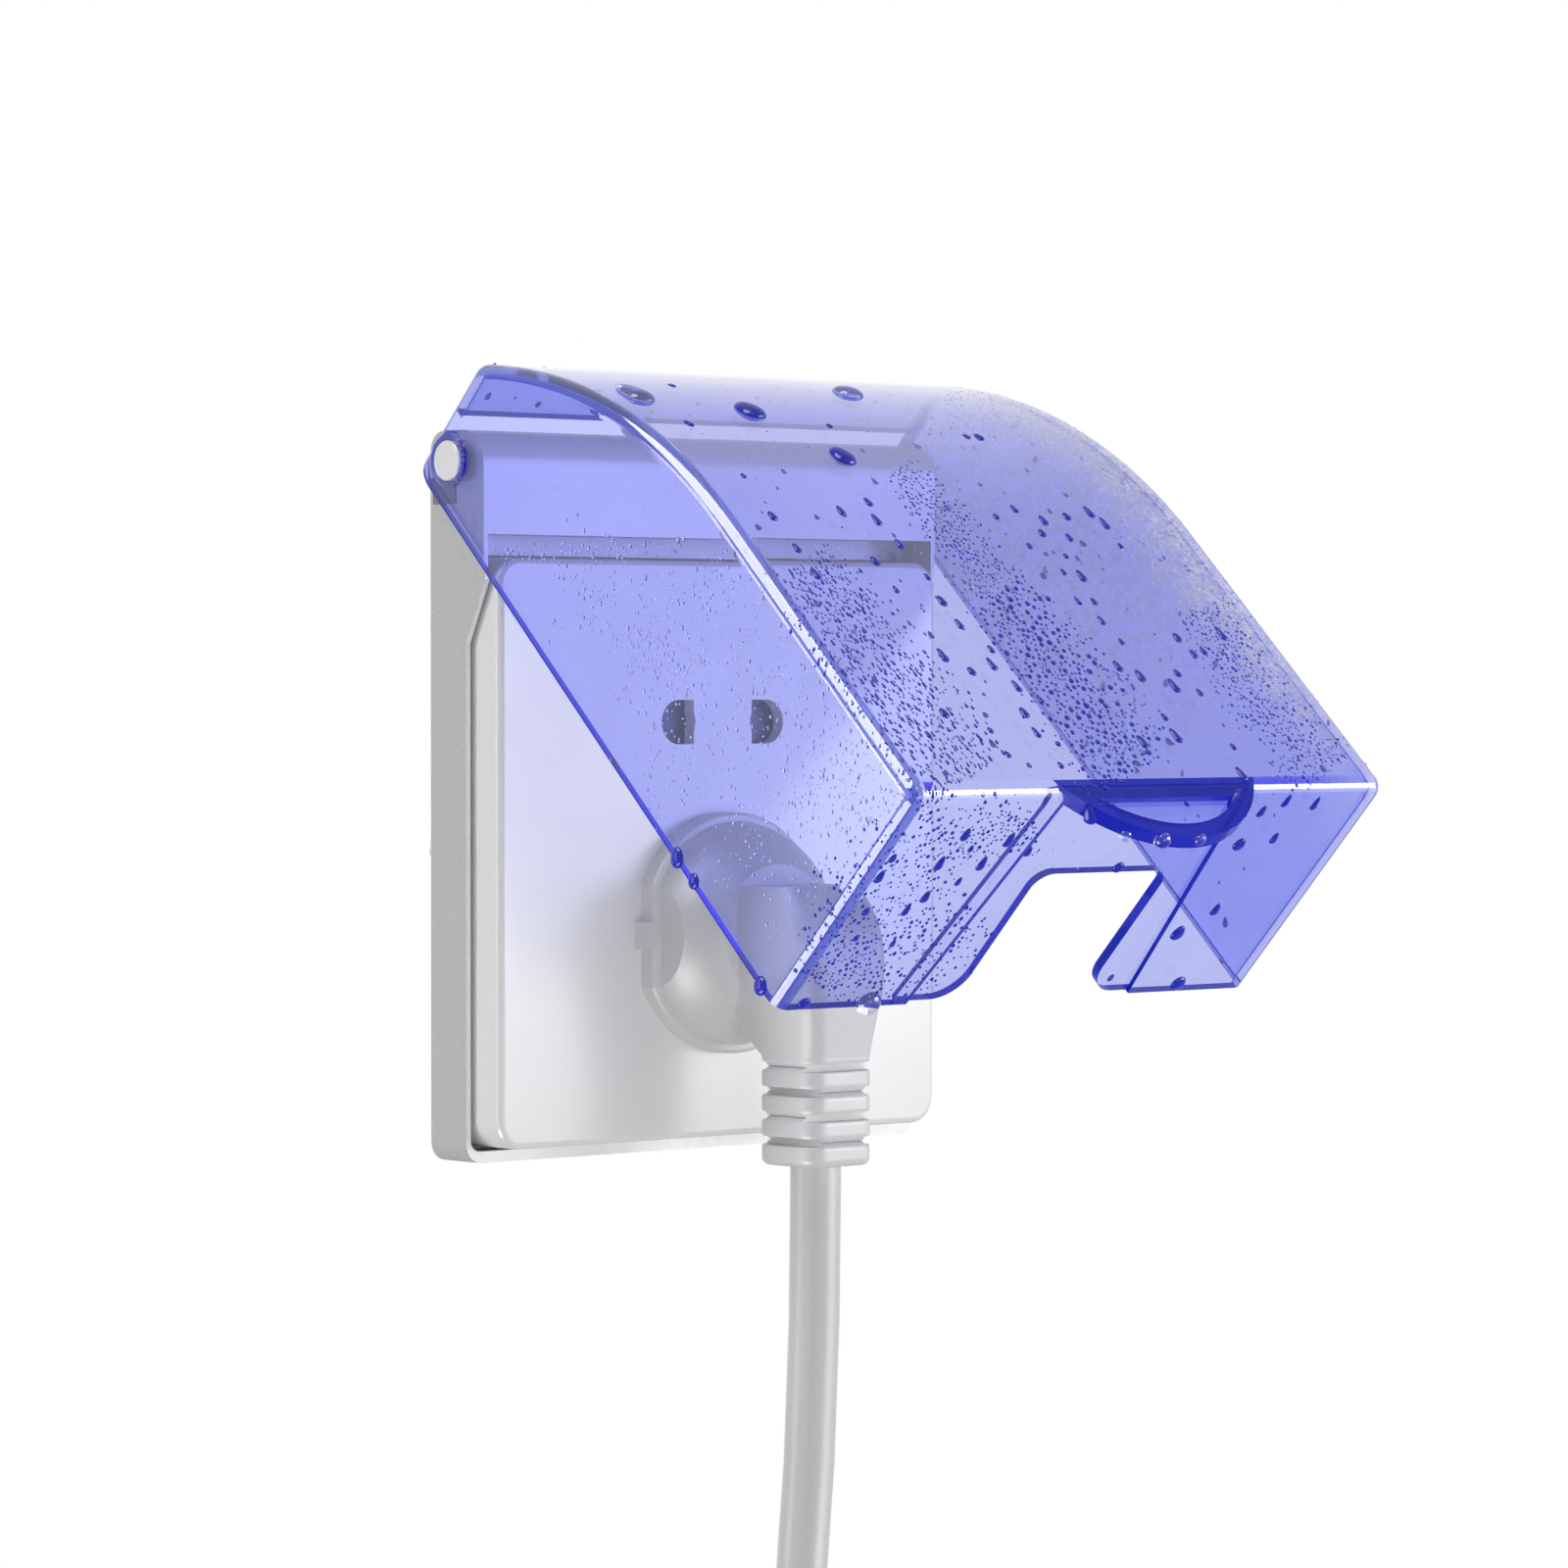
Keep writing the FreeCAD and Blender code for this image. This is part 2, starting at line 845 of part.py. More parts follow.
def plug_relief():
    """Strain relief: rings, with slots between them that alternate in direction."""
    core = cord_diameter / 2 + relief_core_wall
    reach = relief_size
    between = [relief_top - relief_first - i * relief_pitch for i in range(relief_slots)]
    levels = [relief_top] + between + [relief_bottom]
    body = joined([relief_ring(high, low) for high, low in zip(levels, levels[1:])])
    tools = []
    for i, middle in enumerate(between):
        low, high = middle - relief_slot / 2, middle + relief_slot / 2
        for a, b in ((-reach, -core), (core, reach)):
            if i % 2 == 0:
                tools.append(box(-reach, reach, cord_out + a, cord_out + b, low, high))
            else:
                tools.append(box(a, b, cord_out - reach, cord_out + reach, low, high))
    return cut(body, tools)


def plug_body():
    rim_front = panel_front + plug_rim
    disc = peg(0, pin_centre, plug_radius, panel_front, rim_front)
    disc = disc.common(box(-plug_flat, plug_flat, 0, far, -far, far))
    edge = [e for e in disc.Edges if e.BoundBox.YMax < -rim_front + 0.01]
    disc = disc.makeFillet(plug_edge_round, edge)
    first = plug_radius - plug_tier_step
    profile = [
        V(0, -rim_front, pin_centre),
        V(first, -rim_front, pin_centre),
        V(plug_dome_radius, -plug_dome_top, pin_centre),
        V(0, -plug_dome_top, pin_centre),
    ]
    bulge_x = (first + plug_dome_radius) / 2 + plug_dome_bulge
    bulge_out = (rim_front + plug_dome_top) / 2 + plug_dome_swell
    bulge = V(bulge_x, -bulge_out, pin_centre)
    edges = [
        Part.LineSegment(profile[0], profile[1]).toShape(),
        Part.Arc(profile[1], bulge, profile[2]).toShape(),
        Part.LineSegment(profile[2], profile[3]).toShape(),
        Part.LineSegment(profile[3], profile[0]).toShape(),
    ]
    dome = Part.Face(Part.Wire(edges)).revolve(V(0, 0, pin_centre), V(0, 1, 0), 360)
    flat = plug_flat - plug_tier_step
    dome = dome.common(box(-flat, flat, 0, far, -far, far))
    tabs = []
    for side in (-1, 1):
        a, b = sorted((side * (plug_flat - 1), side * (plug_flat + plug_tab_proud)))
        half = plug_tab_tall / 2
        tabs.append(box(a, b, panel_front, rim_front, pin_centre - half, pin_centre + half))
    body = joined([disc, dome, plug_neck(), plug_relief()] + tabs)
    tools = [plug_pin_bridge_blank()] + [plug_pin(name) for name in PINS]
    return cut(body, tools)


def plug_pin_bridge_blank():
    return peg(0, pin_centre, bridge_radius, panel_front, panel_front + bridge)


def plug_pin_bridge():
    """Hard plate that holds the three pins in line, flush with the plug's face."""
    return cut(plug_pin_bridge_blank(), [plug_pin(name) for name in PINS])


# Cord


def cord_shift():
    """How far the coil's first and last turns stand before and behind the cord's own line."""
    return coil_turns * (cord_diameter + coil_lay) / 2


def tube(points, radius):
    """Tube along straight runs that tangent arcs join. Prints the arcs' radii."""
    runs = [(b - a).Length for a, b in zip(points, points[1:])]
    edges = []
    start = points[0]
    for i in range(1, len(points) - 1):
        before = (points[i - 1] - points[i]).normalize()
        after = (points[i + 1] - points[i]).normalize()
        turn = math.pi - before.getAngle(after)
        reach = bend_share * min(runs[i - 1], runs[i])
        bend = reach / math.tan(turn / 2)
        print("arc radius %.1f mm, turn %.1f degrees" % (bend, math.degrees(turn)))
        enter = points[i] + before * reach
        leave = points[i] + after * reach
        inward = (before + after).normalize()
        middle = points[i] + inward * (bend / math.cos(turn / 2) - bend)
        edges.append(Part.LineSegment(start, enter).toShape())
        edges.append(Part.Arc(enter, middle, leave).toShape())
        start = leave
    edges.append(Part.LineSegment(start, points[-1]).toShape())
    path = Part.Wire(edges)
    length = path.Length
    along = (points[1] - points[0]).normalize()
    ring = Part.Wire(Part.makeCircle(radius, points[0], along))
    pipe = path.makePipeShell([ring], True, False)
    print("tube length %.1f mm, volume %.4f of section x length" % (
        length, pipe.Volume / (math.pi * radius * radius * length)))
    return pipe


def cord_route():
    """From the strain relief straight down, then aside into the coil's front turn."""
    front = cord_out + cord_shift()
    return [
        V(0, -cord_out, relief_bottom),
        V(0, -cord_out, cord_bend_high),
        V(-coil_middle_radius, -front, cord_bend_low),
        V(-coil_middle_radius, -front, coil_centre),
    ]


def tail_route():
    """From the coil's rear turn down to the connector."""
    rear = cord_out - cord_shift()
    return [V(-coil_middle_radius, -rear, coil_centre), V(-coil_middle_radius, -rear, tail_end)]


def cord_coil():
    """Outer shape of the turns, as one ring."""
    half = cord_shift() + cord_diameter / 2
    radius = cord_diameter / 2
    low = coil_middle_radius - radius
    block = Part.makeBox(cord_diameter, 2 * half, 1, V(low, -cord_out - half, 0))
    corners = [e for e in block.Edges if abs(e.tangentAt(e.FirstParameter).z) > 0.99]
    block = block.makeFillet(coil_section_corner, corners)
    section = [f for f in block.Faces if f.BoundBox.ZMax < 0.01][0]
    section.translate(V(0, 0, coil_centre))
    return section.revolve(V(0, 0, coil_centre), V(0, 1, 0), 360)


def coil_tie(side):
    """Strap round all the turns at one side of the coil."""
    radius = cord_diameter / 2
    half = cord_shift() + radius
    inner = coil_middle_radius - radius
    outer = coil_middle_radius + radius
    play = small_clearance
    sag = outer - math.sqrt(outer ** 2 - (tie_wide / 2) ** 2)
    a, b = sorted((side * (inner - sag - play), side * (outer + play)))
    low = coil_centre - tie_wide / 2
    high = coil_centre + tie_wide / 2
    strap = box(
        a - tie_thick,
        b + tie_thick,
        cord_out - half - play - tie_thick,
        cord_out + half + play + tie_thick,
        low,
        high,
    )
    corners = [e for e in strap.Edges if abs(e.tangentAt(e.FirstParameter).z) > 0.99]
    strap = strap.makeFillet(radius, corners)
    hole = box(a, b, cord_out - half - play, cord_out + half + play, low - 1, high + 1)
    corners = [e for e in hole.Edges if abs(e.tangentAt(e.FirstParameter).z) > 0.99]
    return strap.cut(hole.makeFillet(radius - tie_thick, corners))


def connector_body():
    """Appliance connector on the cord's far end, its three slots facing down."""
    x = -coil_middle_radius
    out = cord_out - cord_shift()
    top = tail_end - connector_relief
    low = top - connector_grip
    tip = low - connector_nose
    relief = Part.makeCone(
        connector_relief_radius,
        connector_relief_tip,
        connector_relief,
        V(x, -out, top),
        V(0, 0, 1),
    )
    grip = Part.makeBox(
        connector_wide,
        connector_deep,
        connector_grip,
        V(x - connector_wide / 2, -out - connector_deep / 2, low),
    )
    upright = [e for e in grip.Edges if abs(e.tangentAt(e.FirstParameter).z) > 0.99]
    grip = grip.makeFillet(connector_chamfer, upright)
    crown = [e for e in grip.Edges if e.BoundBox.ZMin > top - 0.01]
    grip = grip.makeFillet(2 * plug_edge_round, crown)
    nose = Part.makeBox(
        connector_nose_wide,
        connector_nose_deep,
        connector_nose,
        V(x - connector_nose_wide / 2, -out - connector_nose_deep / 2, tip),
    )
    front = [
        e
        for e in nose.Edges
        if abs(e.tangentAt(e.FirstParameter).z) > 0.99 and e.BoundBox.YMax < -out
    ]
    nose = nose.makeChamfer(connector_chamfer, front)
    body = joined([relief, grip, nose])
    slots = []
    for i in (-1, 0, 1):
        middle = -out + (connector_slot_drop if i else -connector_slot_drop)
        left = x + i * connector_slot_pitch - connector_slot_wide / 2
        slots.append(
            Part.makeBox(
                connector_slot_wide,
                connector_slot_tall,
                connector_slot_deep,
                V(left, middle - connector_slot_tall / 2, tip),
            )
        )
    return cut(body, slots)


# Lid


def shut(x, u, v):
    """Point of the shut lid: u out from its rim, v down from its top."""
    return V(x, -(hinge_out + u - hinge_from_rim), hinge_z - (v - hinge_from_top))


def lid_radius():
    """Radius of the curve that joins the flat top to the upright front."""
    step = lid_depth - lid_flat
    return (step ** 2 + lid_front_start ** 2) / (2 * step)


def lid_block(inset, back, edge_round):
    """The lid's outer form, or its hollow when inset by the wall."""
    radius = lid_radius() - inset
    centre = lid_depth - lid_radius()
    turn = centre + math.sqrt(radius ** 2 - (lid_front_start - inset) ** 2)
    front = lid_depth - inset
    middle = math.atan2(lid_front_start - inset, turn - centre) / 2
    half = lid_half - inset
    corner = shut(-half, turn, inset)
    curve = shut(
        -half, centre + radius * math.cos(middle), lid_front_start - radius * math.sin(middle)
    )
    ends = [
        shut(-half, back, inset),
        corner,
        shut(-half, front, lid_front_start),
        shut(-half, front, lid_height - inset),
        shut(-half, back, lid_height - inset),
    ]
    edges = [
        Part.LineSegment(ends[0], ends[1]).toShape(),
        Part.Arc(ends[1], curve, ends[2]).toShape(),
        Part.LineSegment(ends[2], ends[3]).toShape(),
        Part.LineSegment(ends[3], ends[4]).toShape(),
        Part.LineSegment(ends[4], ends[0]).toShape(),
    ]
    block = Part.Face(Part.Wire(edges)).extrude(V(2 * half, 0, 0))
    rounded = []
    for edge in block.Edges:
        box_ = edge.BoundBox
        in_back = box_.YMin > -(hinge_out + back - hinge_from_rim) - 0.01
        if in_back:
            continue
        at_join = along_x(edge) and abs(box_.ZMax - ends[2].z) < 0.01
        if not at_join:
            rounded.append(edge)
    return block.makeFillet(edge_round, rounded)


def lid_slab(x0, x1, u0, u1, v0, v1):
    """Block in the shut lid's own directions."""
    low = shut(x0, u1, v1)
    return Part.makeBox(x1 - x0, u1 - u0, v1 - v0, low)


def bottom_sheet(outline, v0, v1):
    """Flat sheet square to the lid's height, from an outline of X and u."""
    points = [shut(x, u, v1) for x, u in outline]
    face = Part.Face(Part.makePolygon(points + points[:1]))
    return face.extrude(V(0, 0, v1 - v0))


def lid_notch():
    """Gap for the cord: rounded at its closed end and flared at its mouth."""
    v0, v1 = lid_height - 3 * lid_wall, lid_height + 1
    reach = notch_half + notch_mouth
    slot = bottom_sheet(
        [(-notch_half, -past), (notch_half, -past), (notch_half, notch_deep), (-notch_half, notch_deep)],
        v0,
        v1,
    )
    ends = [
        e
        for e in slot.Edges
        if abs(e.tangentAt(e.FirstParameter).z) > 0.99
        and e.BoundBox.YMin < shut(0, notch_deep - 1, 0).y
    ]
    slot = slot.makeFillet(notch_corner, ends)
    flare = bottom_sheet(
        [(-reach, -past), (reach, -past), (reach, notch_mouth), (-reach, notch_mouth)],
        v0,
        v1,
    )
    for side in (-1, 1):
        middle = shut(side * reach, notch_mouth, v1)
        flare = flare.cut(Part.makeCylinder(notch_mouth, v1 - v0, middle, V(0, 0, 1)))
    notch = joined([slot, flare])
    notch.translate(V(notch_shift, 0, 0))
    return notch


def recess_outline(grow):
    slope = (recess_rim_half - recess_front_half) / lid_depth
    front = lid_depth - lid_edge_round
    a = recess_front_half + grow
    b = recess_rim_half + grow + past * slope
    return [(-b, -past), (b, -past), (a, front + grow), (-a, front + grow)]


def lid_tab():
    """Thumb tab: a shallow dish that carries the front face on below the bottom."""
    radius = (tab_half ** 2 + tab_drop ** 2) / (2 * tab_drop)
    v = lid_height + tab_drop - radius

    def disc(r, u0, u1):
        return Part.makeCylinder(r, u1 - u0, shut(0, u1, v), V(0, 1, 0))

    root = lid_height - lid_edge_round
    keep = lid_slab(-far, far, -far, far, root, far)
    body = disc(radius, lid_depth - tab_thick, lid_depth).common(keep)
    inner = lid_slab(-far, far, -far, far, lid_height + tab_rim / 2, far)
    pocket = disc(radius - tab_rim, lid_depth - tab_pocket, lid_depth + 1).common(inner)
    return body.cut(pocket)


def ear_corner(side):
    """What rounding the ear's back top corner takes off."""
    r = lid_back_round
    a, b = sorted((side * (lid_inner - 1), side * (lid_half + 1)))
    block = lid_slab(a, b, -1, r, -1, r)
    centre = shut(a, r, r)
    return block.cut(Part.makeCylinder(r, b - a, centre, V(1, 0, 0)))


def lid():
    outer = lid_block(0, 0, lid_edge_round)
    hollow = lid_block(lid_wall, -2 * past, lid_edge_round - lid_wall)
    recess = bottom_sheet(recess_outline(0), lid_height - recess_step, lid_height + 1)
    raised = bottom_sheet(
        recess_outline(lid_wall), lid_height - recess_step - lid_wall, lid_height - lid_wall / 2
    ).common(outer)
    body = outer.cut(hollow)
    body = joined([body, raised])
    top_gap = lid_slab(-lid_inner, lid_inner, -1, lid_top_start, -1, lid_wall + 1)
    tools = [recess, top_gap, lid_notch()] + both(ear_corner)
    body = cut(body, tools)
    bosses = []
    for side in (-1, 1):
        a, b = sorted((side * (lid_half - lid_wall / 2), side * (lid_half + hinge_boss)))
        bosses.append(axle(a, b, hinge_out, hinge_z, hinge_boss_radius))
    body = joined([body, lid_tab()] + bosses)
    holes = [axle(-far, far, hinge_out, hinge_z, hinge_pin_radius + hinge_running)]
    for side in (-1, 1):
        floor = lid_half + hinge_boss + hinge_head_proud - hinge_head - hinge_running
        a, b = sorted((side * floor, side * far))
        holes.append(axle(a, b, hinge_out, hinge_z, hinge_head_radius + hinge_head_play))
    body = cut(body, holes)
    body.rotate(V(0, -hinge_out, hinge_z), V(1, 0, 0), -lid_open)
    return body


def hinge_pin(side):
    """White pin pressed into the housing, with a flat head over the lid's ear."""
    top = lid_half + hinge_boss + hinge_head_proud
    under = top - hinge_head
    a, b = sorted((side * (base_half - hinge_pin_reach), side * under))
    shank = axle(a, b, hinge_out, hinge_z, hinge_pin_radius)
    a, b = sorted((side * under, side * top))
    head = axle(a, b, hinge_out, hinge_z, hinge_head_radius)
    rim = [e for e in head.Edges if abs(e.BoundBox.Center.x - side * top) < 0.01]
    return joined([shank, head.makeFillet(hinge_head / 4, rim)])


save("base_frame", base_frame())
save("wall_seal", wall_seal_solid())
save("friction_pad_left", friction_pad(-1))
save("friction_pad_right", friction_pad(1))
save("panel_seal", panel_seal_solid())
save("socket_panel", socket_panel())
save("mounting_frame", mounting_frame())
save("mounting_screws", Part.makeCompound(both(mounting_screw)))
save("mechanism_housing", mechanism_housing())
save("contact_cover", contact_cover())
save("contact_cover_screws", cover_screws())
save("live_contact", line_contact("live"))
save("neutral_contact", line_contact("neutral"))
save("earth_contact", earth_contact())
save("terminal_clamps", terminal_clamps())
save("terminal_screws", terminal_screws())
save("two_pin_shutter", two_pin_shutter())
save("two_pin_shutter_spring", two_pin_shutter_spring())
save("three_pin_shutter", three_pin_shutter())
save("three_pin_shutter_spring", three_pin_shutter_spring())
save("lid", lid())
save("hinge_pin_left", hinge_pin(-1))
save("hinge_pin_right", hinge_pin(1))
save("plug_body", plug_body())
save("plug_pin_bridge", plug_pin_bridge())
for pin in PINS:
    save("plug_" + pin + "_pin", plug_pin(pin))
save("cord_tube", tube(cord_route(), cord_diameter / 2))
save("cord_coil", cord_coil())
save("cord_tail", tube(tail_route(), cord_diameter / 2))
save("coil_tie_left", coil_tie(-1))
save("coil_tie_right", coil_tie(1))
save("connector_body", connector_body())
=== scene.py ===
import bpy
import json
import math
import random
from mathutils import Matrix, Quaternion, Vector
from mathutils.bvhtree import BVHTree


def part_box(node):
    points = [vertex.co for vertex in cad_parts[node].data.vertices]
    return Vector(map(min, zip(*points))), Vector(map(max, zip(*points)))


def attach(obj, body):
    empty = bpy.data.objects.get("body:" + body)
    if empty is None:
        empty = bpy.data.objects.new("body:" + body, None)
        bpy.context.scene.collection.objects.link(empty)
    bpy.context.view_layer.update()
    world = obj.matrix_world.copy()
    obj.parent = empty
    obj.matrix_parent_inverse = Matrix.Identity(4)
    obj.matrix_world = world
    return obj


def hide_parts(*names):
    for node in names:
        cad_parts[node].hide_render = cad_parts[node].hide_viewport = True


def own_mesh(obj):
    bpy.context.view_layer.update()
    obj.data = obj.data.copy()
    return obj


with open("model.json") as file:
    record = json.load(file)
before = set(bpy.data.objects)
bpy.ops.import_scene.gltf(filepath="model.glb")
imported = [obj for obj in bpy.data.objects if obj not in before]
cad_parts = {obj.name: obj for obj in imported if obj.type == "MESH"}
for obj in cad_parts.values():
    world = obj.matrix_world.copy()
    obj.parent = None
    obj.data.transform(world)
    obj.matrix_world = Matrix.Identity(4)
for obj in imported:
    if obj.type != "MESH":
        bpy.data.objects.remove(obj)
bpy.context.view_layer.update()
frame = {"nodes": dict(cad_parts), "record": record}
nodes = frame["nodes"]
scene = bpy.context.scene

# Sizes repeated from the part's source, in metres
CORD = 0.0075
CORD_OUT = 0.035
COIL_X, COIL_Z = 0.04125, -0.215
COIL_TURNS = 5
COIL_PITCH = 0.0076
COIL_FRONT = CORD_OUT + COIL_TURNS * COIL_PITCH / 2
COIL_BACK = CORD_OUT - COIL_TURNS * COIL_PITCH / 2
RELIEF_LOW = -0.046
TAIL_LOW = -0.247
TIE_THICK = 0.0012
LID_WALL = 0.0015
LID_INNER = 0.0446
HINGE = Vector((0.0, -0.0069, 0.0571))
SHUTTING = Quaternion((1.0, 0.0, 0.0), math.radians(46.15))
TAB_HALF, TAB_DROP, TAB_ROOT, TAB_THICK, TAB_POCKET = 0.0198, 0.009, 0.0024, 0.0022, 0.0009

# Lead, straps and spring: sizes in metres, and counts
CORD_BEND_TOP, CORD_BEND_LOW = -0.120, -0.170
POINTS_A_TURN = 16
STRAP_CORNER = 0.0035
STRAP_CORNER_STEPS = 8
LAP_POINTS, LAP_POINTS_TO_MIDDLE = 9, 5
LAP_WIDTH = 0.94
SPRING_WIRE = 0.00015
SPRING_TURNS = 6
SPRING_STEPS, WIRE_SIDES = 18, 8

# Noise scales of the materials' colour drift, gloss and grain, in cells for a metre
MOULD_DRIFT, MOULD_GLOSS = 45, 160
METAL_DRIFT, METAL_GRAIN, METAL_DEPTH = 300, 900, 0.00002
CLEAR_DRIFT, CLEAR_GLOSS = 60, 220
LID_GRAIN, LID_DEPTH = 90, 0.00001

# The lid: tint by the way through it, where its fog thickens along X and Z, and the part of a
# side wall's cut edge that stays pale inside the edge's painted dark outline
LID_TINT, LID_DENSITY = (0.10, 0.12, 1.0, 1.0), 80
FOG_X, FOG_Z = (0.029, 0.041), (0.0, 0.035)
PALE_FROM = (LID_INNER - 0.0004, LID_INNER - 0.0002)
PALE_TO = (LID_INNER + 0.0009, LID_INNER + 0.0011)

# Which face takes which finish: a normal's Y on the base's front, which is painted lit, a normal's
# X on the lid's rounded corners, the depth behind a cut edge, and the height of the lid's floor
# when shut
BASE_LIT_FRONT_Y = -0.3
CORNER_LOW, CORNER_HIGH = 0.2, 0.97
EDGE_DEPTH = 2.5 * LID_WALL
FLOOR_HEIGHT = 1.5 * LID_WALL
SHARP_ANGLE = math.radians(32)

# Drops: how deep they sit in metres, shares of their radius or of a band's width, powers that
# favour small ones, and (sides, rings) of their meshes
SEED = 7
SINK = 0.00003
LEAN, NARROWING, OVERHANG = 0.25, 0.25, 0.25
BAND_SPREAD = 0.75
FINE_POWER, FAR_POWER = 2.2, 3
FAR_RISE = 0.55
FINE_MESH, SINGLE_MESH, FAR_MESH = (7, 2), (16, 5), (8, 2)

# The photograph's frame in its pixels, and the room that drops keep in it, in pixels for a metre
FRAME = 1600
CELL = 10.0
FINE_ROOM, SINGLE_ROOM = 6500, 5000

# Strength of the backdrop as light and as it is seen, and the floor in metres
AMBIENT, BACKDROP = 0.26, 1.0
FLOOR_RADIUS, FLOOR_Z, FLOOR_SIDES = 1.1, -0.33, 64


# Node helpers


def new_material(name):
    mat = bpy.data.materials.new(name)
    mat.use_nodes = True
    return mat, mat.node_tree, mat.node_tree.nodes["Principled BSDF"]


def set_sockets(node, values):
    """Sockets set by name, with _ for each space."""
    for key, value in values.items():
        node.inputs[key.replace("_", " ")].default_value = value


def add(tree, kind, links=(), **values):
    """A node with its sockets set by name, and links given as (socket, source)."""
    node = tree.nodes.new(kind)
    set_sockets(node, values)
    for socket, source in links:
        tree.links.new(node.inputs[socket], source)
    return node


def combine(tree, operation, *sources):
    """Math node of the given kind on one or two sources."""
    node = tree.nodes.new("ShaderNodeMath")
    node.operation = operation
    for index, source in enumerate(sources):
        tree.links.new(node.inputs[index], source)
    return node.outputs[0]


def axes(tree, kind):
    """X, Y and Z of a kind of coordinates."""
    coords = tree.nodes.new("ShaderNodeTexCoord")
    return add(tree, "ShaderNodeSeparateXYZ", [("Vector", coords.outputs[kind])]).outputs


def noise(tree, scale, detail=2.0, rough=0.5, stretch=(1, 1, 1)):
    """Noise in stretched object coordinates."""
    coords = tree.nodes.new("ShaderNodeTexCoord")
    spot = add(tree, "ShaderNodeMapping", [("Vector", coords.outputs["Object"])], Scale=stretch)
    links = [("Vector", spot.outputs["Vector"])]
    node = add(tree, "ShaderNodeTexNoise", links, Scale=scale, Detail=detail, Roughness=rough)
    return node.outputs["Fac"]


def span(tree, source, low, high, start=0.3, stop=0.7):
    """Source between start and stop, taken to low and high."""
    limits = {"From_Min": start, "From_Max": stop, "To_Min": low, "To_Max": high}
    return add(tree, "ShaderNodeMapRange", [("Value", source)], **limits).outputs["Result"]


def blend_colours(tree, factor, a, b):
    """Mix of two colours, each a tuple or a socket."""
    node = tree.nodes.new("ShaderNodeMix")
    node.data_type = "RGBA"
    tree.links.new(node.inputs["Factor"], factor)
    for index, colour in ((6, a), (7, b)):
        if isinstance(colour, tuple):
            node.inputs[index].default_value = (*colour, 1.0)
        else:
            tree.links.new(node.inputs[index], colour)
    return node.outputs[2]


def bump(tree, bsdf, height, depth):
    """Bump of real depth in metres."""
    node = add(tree, "ShaderNodeBump", [("Height", height)], Distance=depth)
    tree.links.new(bsdf.inputs["Normal"], node.outputs["Normal"])


def mottled(tree, bsdf, drift, colour, share):
    """Base colour that drifts by a share of itself either way."""
    dark = tuple(c * (1 - share) for c in colour)
    light = tuple(min(1.0, c * (1 + share)) for c in colour)
    tree.links.new(bsdf.inputs["Base Color"], blend_colours(tree, drift, dark, light))


# Kinds of material


def moulded(name, colour, rough, grain, depth, mottle=0.03, **sockets):
    """Moulded plastic or rubber: slow colour drift, uneven gloss and a fine skin."""
    mat, tree, bsdf = new_material(name)
    mottled(tree, bsdf, span(tree, noise(tree, MOULD_DRIFT, 3), 0, 1), colour, mottle)
    gloss = span(tree, noise(tree, MOULD_GLOSS, 4), rough * 0.94, rough * 1.07)
    tree.links.new(bsdf.inputs["Roughness"], gloss)
    bump(tree, bsdf, noise(tree, grain, 3, 0.6), depth)
    set_sockets(bsdf, sockets)
    return mat


def metal(name, colour, rough, mottle, stretch=(1, 1, 1)):
    """Metal with drawn or plated grain."""
    mat, tree, bsdf = new_material(name)
    bsdf.inputs["Metallic"].default_value = 1.0
    drift = span(tree, noise(tree, METAL_DRIFT, 3, 0.6, stretch), 0, 1)
    mottled(tree, bsdf, drift, colour, mottle)
    gloss = span(tree, noise(tree, METAL_GRAIN, 3, 0.6, stretch), rough * 0.7, rough * 1.3)
    tree.links.new(bsdf.inputs["Roughness"], gloss)
    bump(tree, bsdf, noise(tree, METAL_GRAIN, 2, 0.5, stretch), METAL_DEPTH)
    return mat


def see_through(name, colour, rough, ior, lamp_colour, **sockets):
    """Clear plastic or water, which lamp light and bounced light go straight through."""
    mat, tree, bsdf = new_material(name)
    set_sockets(bsdf, {"Transmission_Weight": 1.0, "IOR": ior, **sockets})
    drift = span(tree, noise(tree, CLEAR_DRIFT, 2), 0, 1)
    deep = tuple(c * 0.97 for c in colour)
    tree.links.new(bsdf.inputs["Base Color"], blend_colours(tree, drift, deep, colour))
    gloss = span(tree, noise(tree, CLEAR_GLOSS, 3), rough * 0.6, rough * 1.5)
    tree.links.new(bsdf.inputs["Roughness"], gloss)
    path = tree.nodes.new("ShaderNodeLightPath").outputs
    either = combine(tree, "MAXIMUM", path["Is Shadow Ray"], path["Is Diffuse Ray"])
    clear = add(tree, "ShaderNodeBsdfTransparent", Color=(*lamp_colour, 1.0))
    links = [(0, either), (1, bsdf.outputs["BSDF"]), (2, clear.outputs["BSDF"])]
    mix = add(tree, "ShaderNodeMixShader", links)
    tree.links.new(tree.nodes["Material Output"].inputs["Surface"], mix.outputs["Shader"])
    return mat


def retint(mat, mask, colour, transmission):
    """Another colour, and another share of light let through, where the mask is 1."""
    tree = mat.node_tree
    bsdf = tree.nodes["Principled BSDF"]
    plain = bsdf.inputs["Base Color"].links[0].from_socket
    tree.links.new(bsdf.inputs["Base Color"], blend_colours(tree, mask, plain, colour))
    share = bsdf.inputs["Transmission Weight"]
    tree.links.new(share, span(tree, mask, share.default_value, transmission, 0.0, 1.0))


